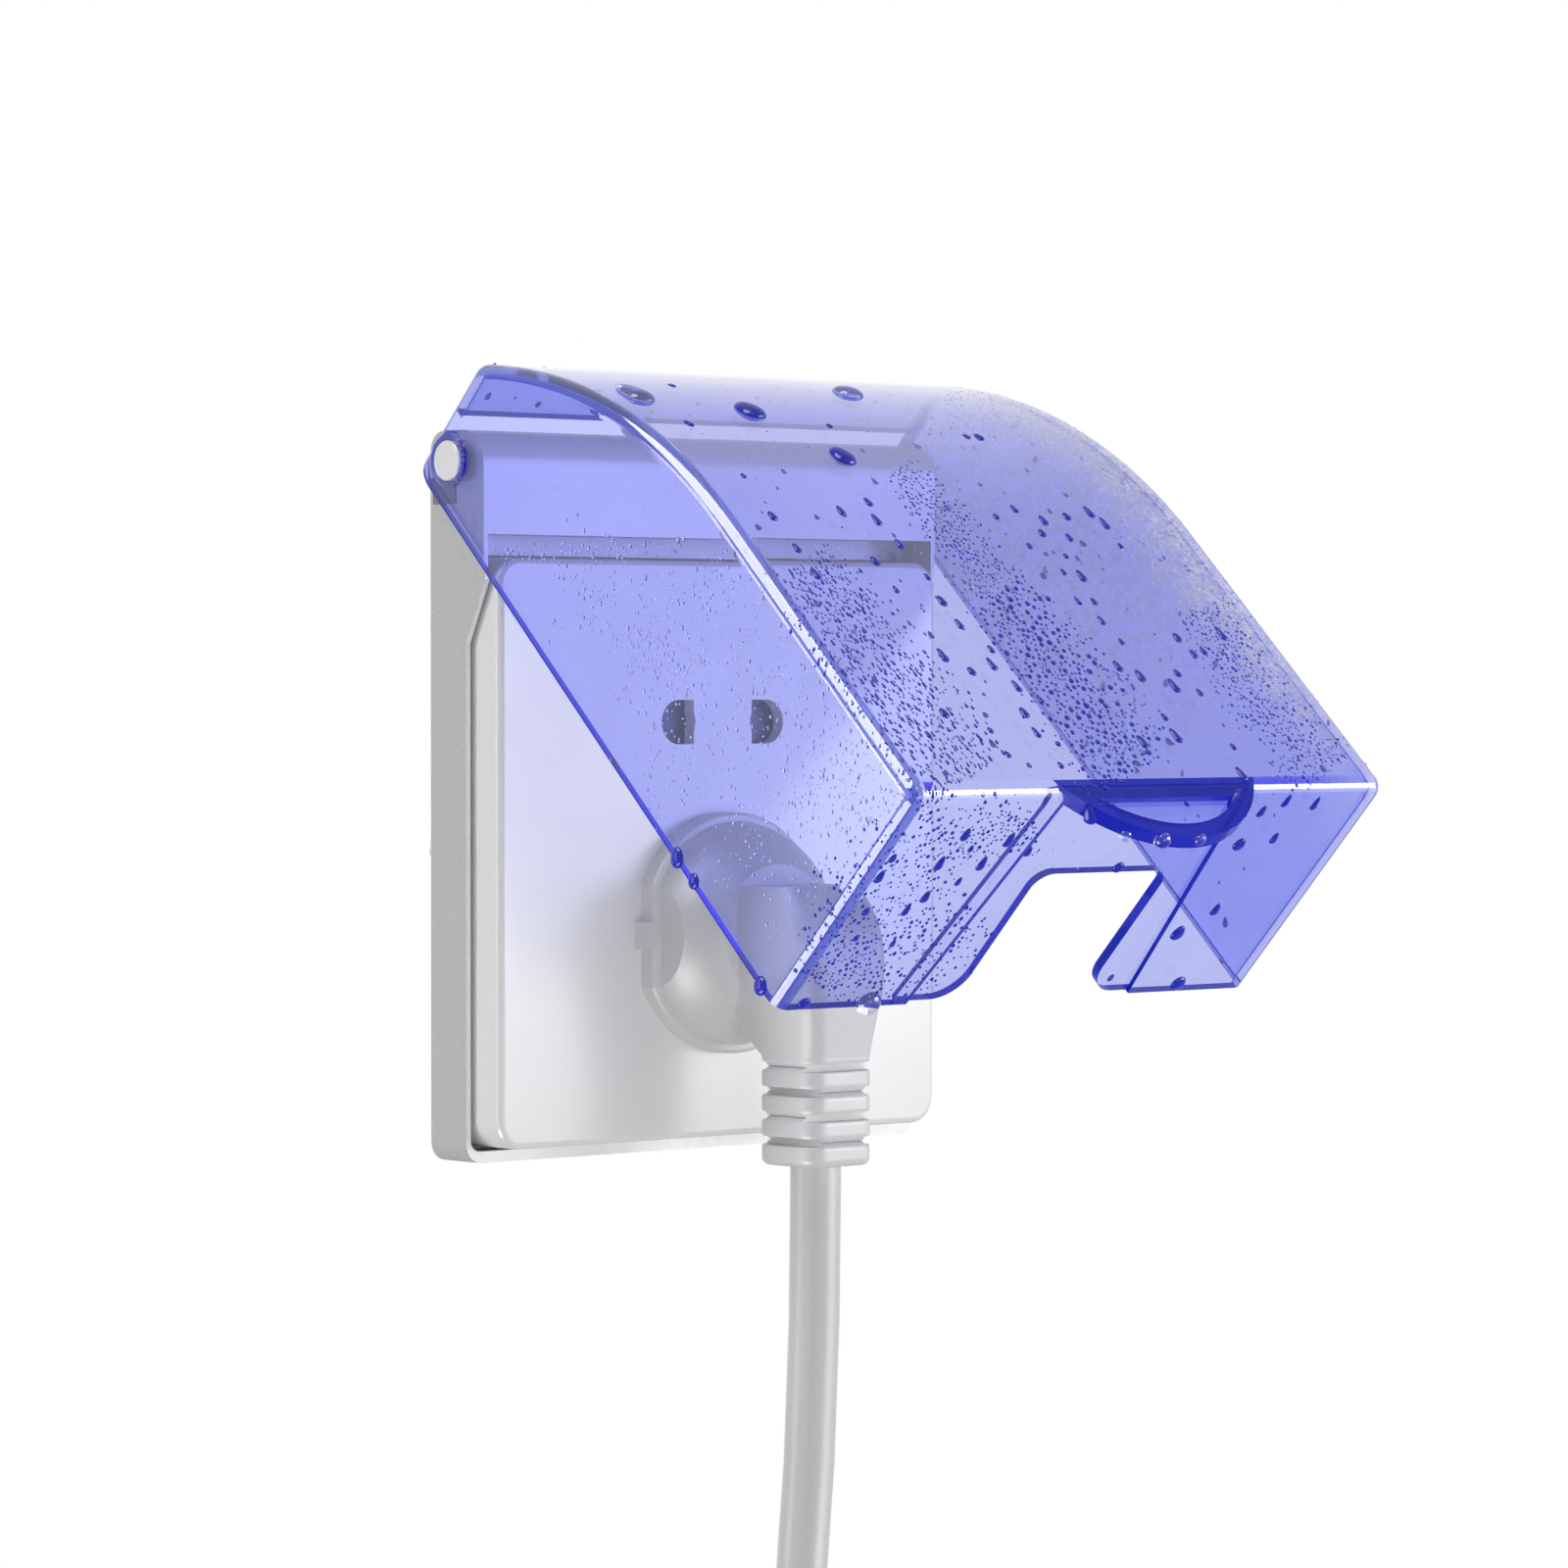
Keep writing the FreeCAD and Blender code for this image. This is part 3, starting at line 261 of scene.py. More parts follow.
def fog(mat):
    """Fine condensation towards the lid's right edge, thickest high up: less tint there."""
    tree = mat.node_tree
    spot = axes(tree, "Object")
    mask = span(tree, spot["X"], 0.0, 1.0, *FOG_X)
    for part in (
        span(tree, spot["Z"], 0.0, 1.0, *FOG_Z),
        span(tree, axes(tree, "Normal")["X"], 1.0, 0.0, 0.5, 0.9),
        span(tree, noise(tree, 1100, 3, 0.6), 0.0, 1.0, 0.40, 0.52),
        span(tree, noise(tree, 260, 3, 0.6), 0.4, 1.0, 0.35, 0.55),
    ):
        mask = combine(tree, "MULTIPLY", mask, part)
    retint(mat, mask, (1.0, 1.0, 1.0), 0.55)


def lid_wall(name, colour):
    """The lid's clear blue: tinted on its surface, and again by the way through it."""
    coat = {"Coat_Weight": 1.0, "Coat_IOR": 1.5, "Coat_Roughness": 0.04}
    mat = see_through(name, colour, 0.02, 1.1, (0.88, 0.885, 0.95), **coat)
    tree = mat.node_tree
    bump(tree, tree.nodes["Principled BSDF"], noise(tree, LID_GRAIN, 2), LID_DEPTH)
    tint = add(tree, "ShaderNodeVolumeAbsorption", Color=LID_TINT, Density=LID_DENSITY)
    tree.links.new(tree.nodes["Material Output"].inputs["Volume"], tint.outputs["Volume"])
    fog(mat)
    return mat


def thin_painted_outline(mat):
    """Lets light through the inner part of a side wall's cut edge, so that its painted dark outline
    stays only along the outer line.
    """
    tree = mat.node_tree
    side = combine(tree, "ABSOLUTE", axes(tree, "Object")["X"])
    inside = span(tree, side, 0.0, 1.0, *PALE_FROM)
    outside = span(tree, side, 1.0, 0.0, *PALE_TO)
    retint(mat, combine(tree, "MULTIPLY", inside, outside), (0.30, 0.34, 0.92), 0.7)


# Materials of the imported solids, by the record's slots

finishes = {
    # The base's grey is painted shade: its white plastic is darkened to the shade its sides are in,
    # and its front takes a painted lit white further down
    "white_base": moulded("base_painted_shade_grey", (0.60, 0.60, 0.605), 0.28, 2600, 0.000012, 0.006),
    "foam_seal": moulded("seal_foam", (0.10, 0.10, 0.11), 0.85, 1800, 0.00025, 0.25),
    "rubber_seal": moulded("seal_rubber", (0.18, 0.18, 0.19), 0.6, 1400, 0.00005, 0.1),
    "white_panel": moulded("panel_gloss", (0.93, 0.93, 0.935), 0.22, 3000, 0.000008, 0.015),
    "zinc_steel": metal("zinc_plate", (0.66, 0.67, 0.69), 0.36, 0.14),
    "screw_steel": metal("screw_plate", (0.70, 0.70, 0.71), 0.28, 0.08),
    "mechanism_plastic": moulded("mechanism_matte", (0.84, 0.84, 0.83), 0.5, 1800, 0.00003),
    "contact_brass": metal("contact_sheet", (0.83, 0.63, 0.30), 0.3, 0.1, (1, 1, 6)),
    "shutter_plastic": moulded("shutter_matte", (0.01, 0.06, 0.15), 0.5, 1800, 0.00002, 0.15),
    "spring_steel": metal("spring_wire", (0.74, 0.74, 0.76), 0.18, 0.05),
    "white_pin": moulded("pin_gloss", (0.94, 0.93, 0.96), 0.25, 2600, 0.000012, 0.02),
    "plug_white": moulded("plug_soft", (0.78, 0.78, 0.785), 0.42, 2600, 0.00004, 0.025),
    "bridge_white": moulded("bridge_hard", (0.80, 0.80, 0.80), 0.38, 2200, 0.00002, 0.02),
    "pin_nickel": metal("pin_plate", (0.78, 0.76, 0.72), 0.2, 0.05, (1, 8, 1)),
    "cord_white": moulded("cord_sheath", (0.68, 0.68, 0.68), 0.36, 700, 0.00006, 0.02),
    "tie_white": moulded("tie_weave", (0.78, 0.78, 0.79), 0.8, 1500, 0.00012, 0.05),
    "clear_blue": lid_wall("lid_clear_blue", (0.61, 0.655, 1.0)),
}

# Further finishes of parts of the lid and the base

lid_front = lid_wall("lid_front_blue", (0.46, 0.495, 0.86))
# Painted dark outline: deep blue on the lid's cut edges and thumb tab rim, standing in for the dark
# line that refraction draws along clear plastic's edges
lid_edge_painted_dark = see_through(
    "lid_edge_painted_dark_blue",
    (0.012, 0.022, 0.60),
    0.05,
    1.1,
    (0.8, 0.81, 0.9),
    Transmission_Weight=0.3,
    Coat_Weight=0.05,
)
thin_painted_outline(lid_edge_painted_dark)
# Painted dark line: deeper blue on the lid's rounded corners, standing in for the dark edge that
# refraction draws there
lid_corner_painted_dark = see_through(
    "lid_corner_painted_dark_blue",
    (0.11, 0.15, 0.84),
    0.02,
    1.1,
    (0.86, 0.865, 0.90),
    Transmission_Weight=0.45,
    Coat_Weight=1.0,
    Coat_IOR=1.6,
    Coat_Roughness=0.05,
)
# Painted light: the base's front faces get white, lighter than the painted-shade grey of its sides
base_front_painted_lit = moulded("base_front_painted_lit_white", (0.93, 0.93, 0.935), 0.28, 2600, 0.000012, 0.006)

# Finishes of the water: the deep and pale blues of the drops are painted, standing in for what
# clear water refracts

# Painted shade: deep blue on clear water, standing in for the dark surroundings that real drops
# refract
drop_painted_deep = see_through(
    "water_painted_deep_blue",
    (0.03, 0.05, 0.72),
    0.0,
    1.25,
    (0.8, 0.82, 1.0),
    Transmission_Weight=0.5,
    Coat_Weight=0.2,
)
drop_clear = see_through(
    "water_clear",
    (0.90, 0.92, 1.0),
    0.0,
    1.16,
    (0.97, 0.98, 1.0),
    Coat_Weight=1.0,
    Coat_IOR=1.5,
    Coat_Roughness=0.05,
)
# Painted refraction: pale blue on clear water, standing in for the blue lid that the drop refracts
drop_painted_pale = see_through(
    "water_painted_pale_blue",
    (0.42, 0.46, 0.93),
    0.0,
    1.25,
    (0.9, 0.91, 1.0),
    Transmission_Weight=0.9,
    Coat_Weight=0.5,
)
drop_frost = moulded(
    "water_frost",
    (0.92, 0.93, 1.0),
    0.25,
    2600,
    0.00001,
    Transmission_Weight=0.85,
)

slot_of = {row["node"]: row["material_slot"] for row in frame["record"]["subparts"]}
for name, obj in nodes.items():
    obj.data.materials.clear()
    obj.data.materials.append(finishes[slot_of[name]])
    for face in obj.data.polygons:
        face.material_index = 0
    obj.data.shade_smooth()
    obj.data.set_sharp_from_angle(angle=SHARP_ANGLE)

# The base's front and lip are painted lit white, lighter than the painted-shade grey of its sides:
# the plastic is one white
nodes["base_frame"].data.materials.append(base_front_painted_lit)
for face in nodes["base_frame"].data.polygons:
    if face.normal.y < BASE_LIT_FRONT_Y:
        face.material_index = 1

# The lid's cut edges and rounded corners are painted deep blue, a painted dark outline standing in
# for the line that refraction draws along clear plastic's edges, and its front has a deeper tint
# than its sides and floor
EDGE, CORNER, FRONT = 1, 2, 3
lid_mesh = nodes["lid"].data
for material in (lid_edge_painted_dark, lid_corner_painted_dark, lid_front):
    lid_mesh.materials.append(material)
lid_faces = [tuple(face.vertices) for face in lid_mesh.polygons]
lid_tree = BVHTree.FromPolygons([v.co for v in lid_mesh.vertices], lid_faces)
shut_place = [SHUTTING @ (v.co - HINGE) for v in lid_mesh.vertices]
tab_tip = min(v.z for v in shut_place)
front_plane = min(v.y for v in shut_place)
floor_top = tab_tip + TAB_DROP + FLOOR_HEIGHT


def on_tab_rim(face):
    """True on the thumb tab's rim and root, and not in its dish or on its back."""
    spots = [shut_place[i] for i in face.vertices]
    for v in spots:
        high = v.z - tab_tip - TAB_DROP - TAB_ROOT
        if abs(v.x) > TAB_HALF or high > SINK or v.y - front_plane > TAB_THICK + SINK:
            return False
    deep = [v.y - front_plane for v in spots]
    in_dish = min(deep) > TAB_POCKET - SINK and max(deep) < TAB_POCKET + SINK
    return not in_dish and min(deep) < TAB_THICK - SINK


for face in lid_mesh.polygons:
    inward = -face.normal
    depth = lid_tree.ray_cast(face.center + inward * SINK, inward)[3]
    sideways = abs(face.normal.x)
    if on_tab_rim(face) or (depth and depth > EDGE_DEPTH):
        face.material_index = EDGE
    elif CORNER_LOW < sideways < CORNER_HIGH:
        face.material_index = CORNER
    elif sideways <= CORNER_LOW and min(shut_place[i].z for i in face.vertices) > floor_top:
        face.material_index = FRONT


# Camera at the photograph's place, fitted to the solids' edges: a little over level, and turned
# to see the left side

camera = bpy.data.objects.new("camera", bpy.data.cameras.new("camera"))
scene.collection.objects.link(camera)
camera.data.sensor_width = 36.0
camera.data.lens = 133.783
camera.data.clip_start = 0.02
camera.location = (-0.57149, -0.67255, 0.02522)
camera.rotation_euler = (math.radians(90 - 1.02), 0.0, math.radians(-41.56))
scene.camera = camera


def make_piece(name, verts, faces, material):
    """A smooth mesh in the scene."""
    mesh = bpy.data.meshes.new(name)
    mesh.from_pydata(verts, [], faces)
    mesh.materials.append(material)
    mesh.shade_smooth()
    mesh.update()
    piece = bpy.data.objects.new(name, mesh)
    scene.collection.objects.link(piece)
    return piece


# Cord: one spline from the strain relief, through the coil, to the connector


def cord_points():
    """Spline points, each turn outside the coil's circle so that the spline runs on it."""
    points = [(0.0, -CORD_OUT, RELIEF_LOW), (0.0, -CORD_OUT, CORD_BEND_TOP)]
    points.append((-COIL_X, -COIL_FRONT, CORD_BEND_LOW))
    radius = COIL_X / math.cos(math.pi / POINTS_A_TURN)
    total = POINTS_A_TURN * COIL_TURNS
    for i in range(total):
        share = (i + 0.5) / total
        angle = math.pi + share * COIL_TURNS * 2 * math.pi
        out = COIL_FRONT + (COIL_BACK - COIL_FRONT) * share
        points.append((radius * math.cos(angle), -out, COIL_Z + radius * math.sin(angle)))
    points.append((-COIL_X, -COIL_BACK, TAIL_LOW))
    return points


def make_cord():
    """The whole lead as one round curve."""
    curve = bpy.data.curves.new("cord", "CURVE")
    curve.dimensions = "3D"
    curve.bevel_depth = CORD / 2
    curve.bevel_resolution = 6
    curve.resolution_u = 6
    curve.use_fill_caps = True
    spline = curve.splines.new("NURBS")
    points = cord_points()
    spline.points.add(len(points) - 1)
    for i, point in enumerate(points):
        spline.points[i].co = (*point, 1.0)
    spline.order_u = 3
    spline.use_endpoint_u = True
    curve.materials.append(finishes["cord_white"])
    piece = bpy.data.objects.new("cord", curve)
    scene.collection.objects.link(piece)
    return piece


cord = make_cord()
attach(cord, "base")
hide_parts("cord_tube", "cord_coil", "cord_tail")


# Woven straps round the coil


def strap_band(verts, faces, line, across, thick, closed):
    """Flat band along a line of (point, outward) pairs, with rounded edges."""
    edge = thick / 2
    section = []
    for side in (1, -1):
        for step in range(5):
            angle = math.radians(-90 + 45 * step)
            wide = across - edge + edge * math.cos(angle)
            section.append((side * wide, side * edge * math.sin(angle)))
    start = len(verts)
    count = len(section)
    for point, outward in line:
        for wide, rise in section:
            x = point[0] + outward[0] * rise
            y = point[1] + outward[1] * rise
            verts.append((x, y, point[2] + wide))
    rows = len(line)
    for i in range(rows if closed else rows - 1):
        a, b = start + i * count, start + (i + 1) % rows * count
        for j in range(count):
            k = (j + 1) % count
            faces.append((a + j, b + j, b + k, a + k))
    if not closed:
        faces.append(tuple(start + j for j in range(count)))
        faces.append(tuple(start + (rows - 1) * count + j for j in reversed(range(count))))


def make_strap(name):
    """Band round the coil in the box of the node that it stands for, with its end lapped over."""
    low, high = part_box(name)
    middle = [(low[i] + high[i]) / 2 for i in range(3)]
    half_x = (high[0] - low[0]) / 2 - TIE_THICK / 2
    half_y = (high[1] - low[1]) / 2 - TIE_THICK / 2
    across = (high[2] - low[2]) / 2
    line = []
    for turn, (sx, sy) in enumerate(((1, -1), (1, 1), (-1, 1), (-1, -1))):
        for step in range(STRAP_CORNER_STEPS + 1):
            angle = math.radians(-90 + 90 * turn + 90 * step / STRAP_CORNER_STEPS)
            out = (math.cos(angle), math.sin(angle))
            x = middle[0] + sx * (half_x - STRAP_CORNER) + out[0] * STRAP_CORNER
            y = middle[1] + sy * (half_y - STRAP_CORNER) + out[1] * STRAP_CORNER
            line.append(((x, y, middle[2]), out))
    verts, faces = [], []
    strap_band(verts, faces, line, across, TIE_THICK, True)
    lap = []
    front = middle[1] - half_y - TIE_THICK
    for step in range(LAP_POINTS):
        x = middle[0] + (half_x - STRAP_CORNER) * (1 - step / LAP_POINTS_TO_MIDDLE)
        lap.append(((x, front, middle[2]), (0.0, -1.0)))
    strap_band(verts, faces, lap, across * LAP_WIDTH, TIE_THICK, False)
    strap = make_piece("strap_" + name.split("_")[-1], verts, faces, finishes["tie_white"])
    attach(strap, "base")
    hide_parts(name)


make_strap("coil_tie_left")
make_strap("coil_tie_right")


# The two-pin shutter's return spring, at one length here, though the real one shortens as the
# shutter slides


def make_spring(name, node):
    """Helix of wire along X, between the ends of the node that it stands for."""
    low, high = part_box(node)
    sides = WIRE_SIDES
    run = high[0] - low[0] - 2 * SPRING_WIRE
    middle = Vector((low[0] + SPRING_WIRE, (low[1] + high[1]) / 2, (low[2] + high[2]) / 2))
    radius = (high[1] - low[1]) / 2 - SPRING_WIRE
    rise = run / (SPRING_TURNS * 2 * math.pi)
    verts, faces = [], []
    count = SPRING_STEPS * SPRING_TURNS
    for i in range(count + 1):
        turn = 2 * math.pi * i / SPRING_STEPS
        out = Vector((0.0, math.cos(turn), math.sin(turn)))
        along = Vector((rise, -radius * math.sin(turn), radius * math.cos(turn))).normalized()
        beside = along.cross(out)
        centre = middle + Vector((run * i / count, 0.0, 0.0)) + out * radius
        for j in range(sides):
            angle = 2 * math.pi * j / sides
            verts.append(centre + (out * math.cos(angle) + beside * math.sin(angle)) * SPRING_WIRE)
    for i in range(count):
        a, b = i * sides, (i + 1) * sides
        for j in range(sides):
            k = (j + 1) % sides
            faces.append((a + j, a + k, b + k, b + j))
    faces.append(tuple(reversed(range(sides))))
    faces.append(tuple(count * sides + j for j in range(sides)))
    spring = make_piece(name, verts, faces, finishes["spring_steel"])
    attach(spring, "base")
    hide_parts(node)
    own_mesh(spring)


make_spring("shutter_return_spring", "two_pin_shutter_spring")


# Water on the lid, placed by points of the photograph's frame

chance = random.Random(SEED)
taken = {}


def lid_spot(x, y):
    """Where the camera's line through a point of the frame meets the lid, and the way out there."""
    scale = camera.data.sensor_width / camera.data.lens / FRAME
    aim = Vector(((x - FRAME / 2) * scale, (FRAME / 2 - y) * scale, -1.0))
    aim.rotate(camera.rotation_euler)
    return lid_tree.ray_cast(camera.location, aim.normalized())[:2]


def downhill(normal):
    """The way that water runs on a surface, or along X where it is level."""
    down = Vector((0.0, 0.0, -1.0))
    way = down - normal * down.dot(normal)
    if way.length < 0.05:
        way = Vector((1.0, 0.0, 0.0)) - normal * normal.x
    return way.normalized()


def add_drop(pool, spot, normal, radius, stretch, rise, mesh):
    """Closed drop on a surface: a low cap, drawn out uphill into a tail."""
    verts, faces = pool
    sides, rings = mesh
    along = downhill(normal)
    side = normal.cross(along)
    start = len(verts)
    lean = chance.uniform(-LEAN, LEAN)
    for i in range(rings):
        lift = math.pi / 2 * i / rings
        height = rise * math.sin(lift) - (SINK if i == 0 else 0.0)
        for j in range(sides):
            angle = 2 * math.pi * j / sides
            far_on = math.cos(angle) * math.cos(lift)
            wide = math.sin(angle) * math.cos(lift)
            if far_on < 0:
                far_on *= 2 * stretch - 1
                wide *= 1 - NARROWING * min(1.0, stretch - 1)
            shift = lean * wide * min(1.0, stretch - 1)
            place = along * ((far_on + shift) * radius) + side * (wide * radius)
            verts.append(spot + place + normal * height)
    verts.append(spot + normal * rise)
    faces.append(tuple(start + j for j in reversed(range(sides))))
    for i in range(rings - 1):
        a, b = start + i * sides, start + (i + 1) * sides
        for j in range(sides):
            k = (j + 1) % sides
            faces.append((a + j, a + k, b + k, b + j))
    last, top = start + (rings - 1) * sides, start + rings * sides
    for j in range(sides):
        faces.append((last + j, last + (j + 1) % sides, top))


def rests(spot, normal, radius):
    """True where the lid is under the whole drop."""
    along = downhill(normal)
    side = normal.cross(along)
    for way in (along, side, -along, -side):
        nearest = lid_tree.find_nearest(spot + way * radius)
        if nearest[3] > OVERHANG * radius:
            return False
    return True


def free(x, y, room):
    """Keeps drops apart in the frame."""
    cx, cy = int(x // CELL), int(y // CELL)
    for i in (-1, 0, 1):
        for j in (-1, 0, 1):
            for ox, oy, other in taken.get((cx + i, cy + j), ()):
                if math.hypot(ox - x, oy - y) < room + other:
                    return False
    taken.setdefault((cx, cy), []).append((x, y, room))
    return True


def band(pool, route, count, radii, stretches, rise):
    """Drops scattered along a route of (x, y, width) points of the frame."""
    runs = [math.dist(a[:2], b[:2]) for a, b in zip(route, route[1:])]
    for _ in range(count):
        run = chance.choices(range(len(runs)), runs)[0]
        share = chance.random()
        a, b = route[run], route[run + 1]
        width = a[2] + (b[2] - a[2]) * share
        off = (chance.random() + chance.random() - 1) * width * BAND_SPREAD
        x = a[0] + (b[0] - a[0]) * share + off * (b[1] - a[1]) / runs[run]
        y = a[1] + (b[1] - a[1]) * share - off * (b[0] - a[0]) / runs[run]
        radius = radii[0] + (radii[1] - radii[0]) * chance.random() ** FINE_POWER
        stretch = chance.uniform(*stretches)
        spot, normal = lid_spot(x, y)
        if spot and rests(spot, normal, radius) and free(x, y, radius * FINE_ROOM):
            add_drop(pool, spot, normal, radius, stretch, radius * rise, FINE_MESH)


def single(pool, x, y, radius, stretch, rise=0.5):
    """One drop at a point of the frame."""
    spot, normal = lid_spot(x, y)
    if spot and free(x, y, radius * SINGLE_ROOM):
        add_drop(pool, spot, normal, radius, stretch, radius * rise, SINGLE_MESH)


# Each pool is one piece's points and faces
large, medium, fine, clear, pale, hanging, far_side, frost = (([], []) for _ in range(8))

single(pale, 652, 405, 0.0025, 1.5)
single(pale, 866, 402, 0.0023, 1.15)
for x, y, radius in (
    (885, 1022, 0.0020),
    (1148, 852, 0.0010),
    (1186, 857, 0.0013),
    (1224, 856, 0.0010),
):
    single(hanging, x, y, radius, 1.0, 0.9)
for x, y, radius, stretch in (
    (767, 421, 0.0023, 1.25),
    (861, 467, 0.0020, 1.2),
    (691, 877, 0.0013, 1.2),
    (708, 900, 0.0011, 1.1),
    (776, 1007, 0.0013, 1.1),
    (820, 1024, 0.0011, 1.0),
    (943, 1021, 0.0012, 1.0),
    (1201, 953, 0.0012, 1.2),
    (1202, 1003, 0.0013, 1.0),
    (1264, 862, 0.0011, 1.1),
    (1141, 885, 0.0010, 1.0),
    (1258, 818, 0.0013, 1.3),
    (1112, 835, 0.0010, 1.6),
):
    single(large, x, y, radius, stretch)
for x, y in (
    (704, 433), (687, 394), (847, 435), (789, 528), (814, 561), (759, 486), (859, 523),
    (887, 514), (896, 533), (919, 557), (894, 574), (947, 590), (915, 603), (834, 588),
    (962, 615), (980, 639), (964, 672), (992, 686), (1014, 681), (1012, 664), (948, 751),
    (1011, 746), (1029, 771), (964, 729), (1039, 703), (1046, 729), (1059, 750), (1083, 782),
    (1063, 716), (1017, 528), (1036, 521), (1066, 533), (1089, 528), (1113, 525), (1092, 550),
    (1064, 545), (1051, 558), (1088, 568), (1086, 585), (1105, 590), (1117, 615), (1101, 615),
    (1125, 635), (1145, 656), (1202, 652), (1165, 692), (1202, 688), (1200, 703), (1225, 708),
    (1142, 682), (1189, 733), (1202, 754), (1168, 760), (1219, 669), (1144, 558), (1129, 537),
    (1248, 650), (1229, 666), (1259, 763), (1269, 793), (1311, 820), (1340, 823), (1286, 830),
    (1299, 857), (1239, 930), (1028, 860), (990, 867), (1048, 870), (957, 884), (910, 877),
    (1000, 884), (984, 854), (1000, 447), (987, 446), (977, 901), (943, 917), (923, 931),
    (896, 897), (883, 931), (873, 958), (910, 964),
):
    single(medium, x, y, chance.uniform(0.00045, 0.0008), chance.uniform(1.25, 2.0))

# Routes of the bands, as (x, y, width) in the frame
ridge_low = [(1017, 608, 50), (1071, 669, 64), (1111, 723, 71), (1158, 790, 74)]
ridge = [(917, 478, 27), (964, 528, 40), *ridge_low]
left_edge = [(816, 575, 54), (856, 629, 74), (910, 696, 81), (957, 763, 81), (984, 800, 74)]
right_edge = [(1225, 622, 40), (1272, 696, 47), (1313, 750, 54), (1353, 793, 54)]
silhouette = [
    (964, 412, 34),
    (1060, 440, 54),
    (1135, 500, 60),
    (1200, 566, 54),
    (1272, 650, 40),
    (1330, 730, 34),
]
wall_high = [(567, 582, 107), (634, 595, 81), (648, 662, 74), (702, 709, 74)]
wall_line = [(505, 568, 14), (600, 562, 16), (700, 556, 14)]
wall_low = [(668, 736, 81), (762, 844, 134), (843, 911, 107)]
wall_edge = [(702, 582, 134), (782, 682, 148), (856, 790, 134), (883, 844, 81)]
under_rim = [(829, 1005, 40), (883, 931, 94), (937, 857, 81), (1058, 844, 40)]
under_low = [(843, 1005, 40), (910, 991, 81), (964, 964, 107), (1004, 938, 107)]
whole_front = [(700, 430, 300), (980, 650, 420), (1180, 780, 330)]

# Drops along each route: how many, and the ranges of their radius and stretch, and their rise
for pool, route, count, radii, stretches, rise in (
    (fine, ridge_low, 420, (0.00028, 0.00055), (1.0, 1.3), 0.55),
    (fine, ridge, 1500, (0.00016, 0.00030), (1.0, 1.3), 0.55),
    (fine, left_edge, 1300, (0.00015, 0.00034), (1.3, 2.2), 0.5),
    (fine, right_edge, 800, (0.00015, 0.00032), (1.0, 1.3), 0.55),
    (fine, under_rim, 900, (0.00015, 0.00036), (1.0, 1.2), 0.55),
    (fine, under_low, 420, (0.00018, 0.00040), (1.0, 1.2), 0.55),
    (clear, wall_edge, 520, (0.00012, 0.00032), (1.0, 1.5), 0.5),
    (clear, wall_high, 320, (0.00012, 0.00032), (1.0, 1.7), 0.5),
    (clear, wall_line, 90, (0.00018, 0.0004), (1.0, 1.3), 0.6),
    (clear, wall_low, 300, (0.00012, 0.00028), (1.0, 1.4), 0.5),
    (frost, silhouette, 3200, (0.00009, 0.00022), (1.0, 1.2), 0.7),
    (frost, whole_front, 700, (0.00008, 0.00016), (1.0, 1.4), 0.6),
    (frost, wall_edge, 300, (0.00008, 0.00016), (1.0, 1.3), 0.6),
):
    band(pool, route, count, radii, stretches, rise)


def scatter_behind(pool, count, radii):
    """Fine drops on the lid's outer faces that the camera doesn't see."""
    lid_mesh.calc_loop_triangles()
    faces, sizes = [], []
    for face in lid_mesh.loop_triangles:
        normal = Vector(face.normal)
        middle = sum((lid_mesh.vertices[i].co for i in face.vertices), Vector()) / 3
        covered = lid_tree.ray_cast(middle + normal * SINK, normal)[0]
        if covered or normal.dot(camera.location - middle) > 0:
            continue
        faces.append(face)
        sizes.append(face.area)
    for face in chance.choices(faces, sizes, k=count):
        a, b = sorted((chance.random(), chance.random()))
        p, q, r = (lid_mesh.vertices[i].co for i in face.vertices)
        spot = p * a + q * (b - a) + r * (1 - b)
        normal = Vector(face.normal)
        radius = radii[0] + (radii[1] - radii[0]) * chance.random() ** FAR_POWER
        if rests(spot, normal, radius):
            stretch = chance.uniform(1.0, 1.7)
            add_drop(pool, spot, normal, radius, stretch, radius * FAR_RISE, FAR_MESH)


scatter_behind(far_side, 260, (0.0002, 0.0006))

for name, pool, material in (
    ("drops_large", large, drop_painted_deep),
    ("drops_medium", medium, drop_painted_deep),
    ("drops_fine", fine, drop_painted_deep),
    ("drops_clear", clear, drop_clear),
    ("drops_pale", pale, drop_painted_pale),
    ("drops_hanging", hanging, drop_clear),
    ("drops_far_side", far_side, drop_painted_deep),
    ("drops_frost", frost, drop_frost),
):
    piece = make_piece(name, pool[0], pool[1], material)
    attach(piece, "lid")


# Light and stage

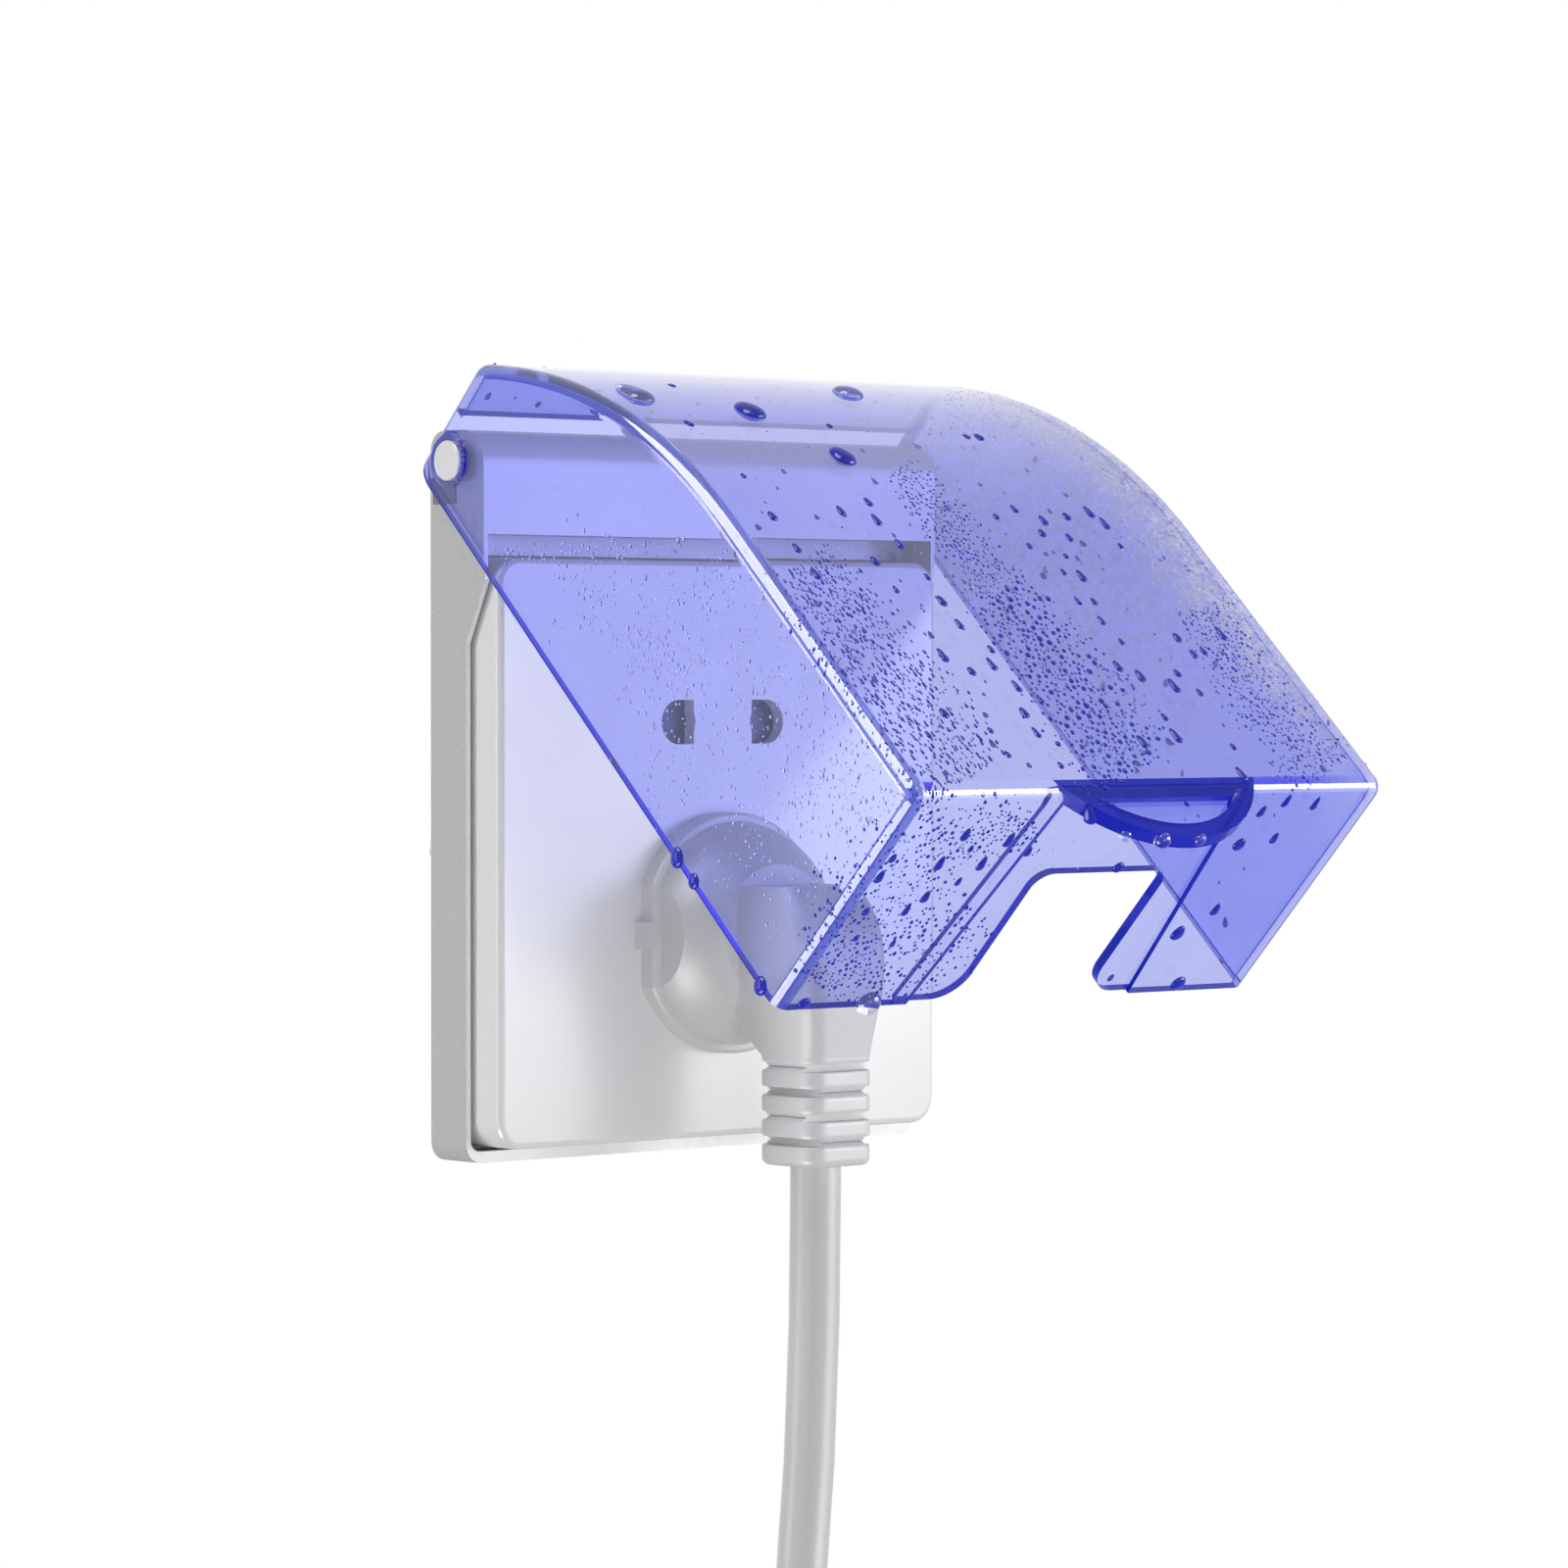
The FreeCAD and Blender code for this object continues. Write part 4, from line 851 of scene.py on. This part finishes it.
world = bpy.data.worlds.new("studio")
scene.world = world
world.use_nodes = True
tree = world.node_tree
background = tree.nodes["Background"]
path = tree.nodes.new("ShaderNodeLightPath").outputs
seen = path["Is Camera Ray"]
for kind in ("Is Glossy Ray", "Is Transmission Ray"):
    seen = combine(tree, "MAXIMUM", seen, path[kind])
tree.links.new(background.inputs["Strength"], span(tree, seen, AMBIENT, BACKDROP, 0.0, 1.0))
background.inputs["Color"].default_value = (1, 1, 1, 1)


def lamp(name, place_at, size, power, card=False):
    """Area lamp aimed at the object. A card shows only in gloss, as a studio reflector does."""
    data = bpy.data.lights.new(name, "AREA")
    data.shape = "RECTANGLE"
    data.size, data.size_y = size
    data.energy = power
    obj = bpy.data.objects.new(name, data)
    obj.location = place_at
    obj.rotation_euler = (-Vector(place_at)).to_track_quat("-Z", "Y").to_euler()
    scene.collection.objects.link(obj)
    if card:
        obj.visible_diffuse = False
        obj.visible_transmission = False


lamp("key", (1.2, -1.25, -0.15), (1.7, 1.7), 14.5)
lamp("low", (-0.2, -0.9, -0.22), (0.5, 0.35), 1.5)
lamp("top", (-0.2, -0.3, 1.5), (0.9, 0.9), 1.0)
lamp("left", (-1.35, 0.7, 0.3), (0.3, 1.2), 8.5)
lamp("edge_card", (-0.66, -0.06, 1.0), (0.9, 0.9), 30, card=True)
lamp("low_card", (-0.27, -0.02, -0.3), (0.3, 0.3), 3, card=True)
lamp("glint_card", (-0.35, -1.0, 0.9), (0.07, 0.07), 5, card=True)
lamp("rim_card", (0.8, -0.93, 0.16), (0.8, 0.45), 14, card=True)

ring = []
for i in range(FLOOR_SIDES):
    angle = 2 * math.pi * i / FLOOR_SIDES
    ring.append((FLOOR_RADIUS * math.cos(angle), FLOOR_RADIUS * math.sin(angle), FLOOR_Z))
floor_paint = moulded("floor_pale", (0.93, 0.93, 0.93), 0.7, 300, 0.00005, 0.01)
floor = make_piece("floor", ring, [tuple(range(FLOOR_SIDES))], floor_paint)

scene.view_settings.view_transform = "Standard"
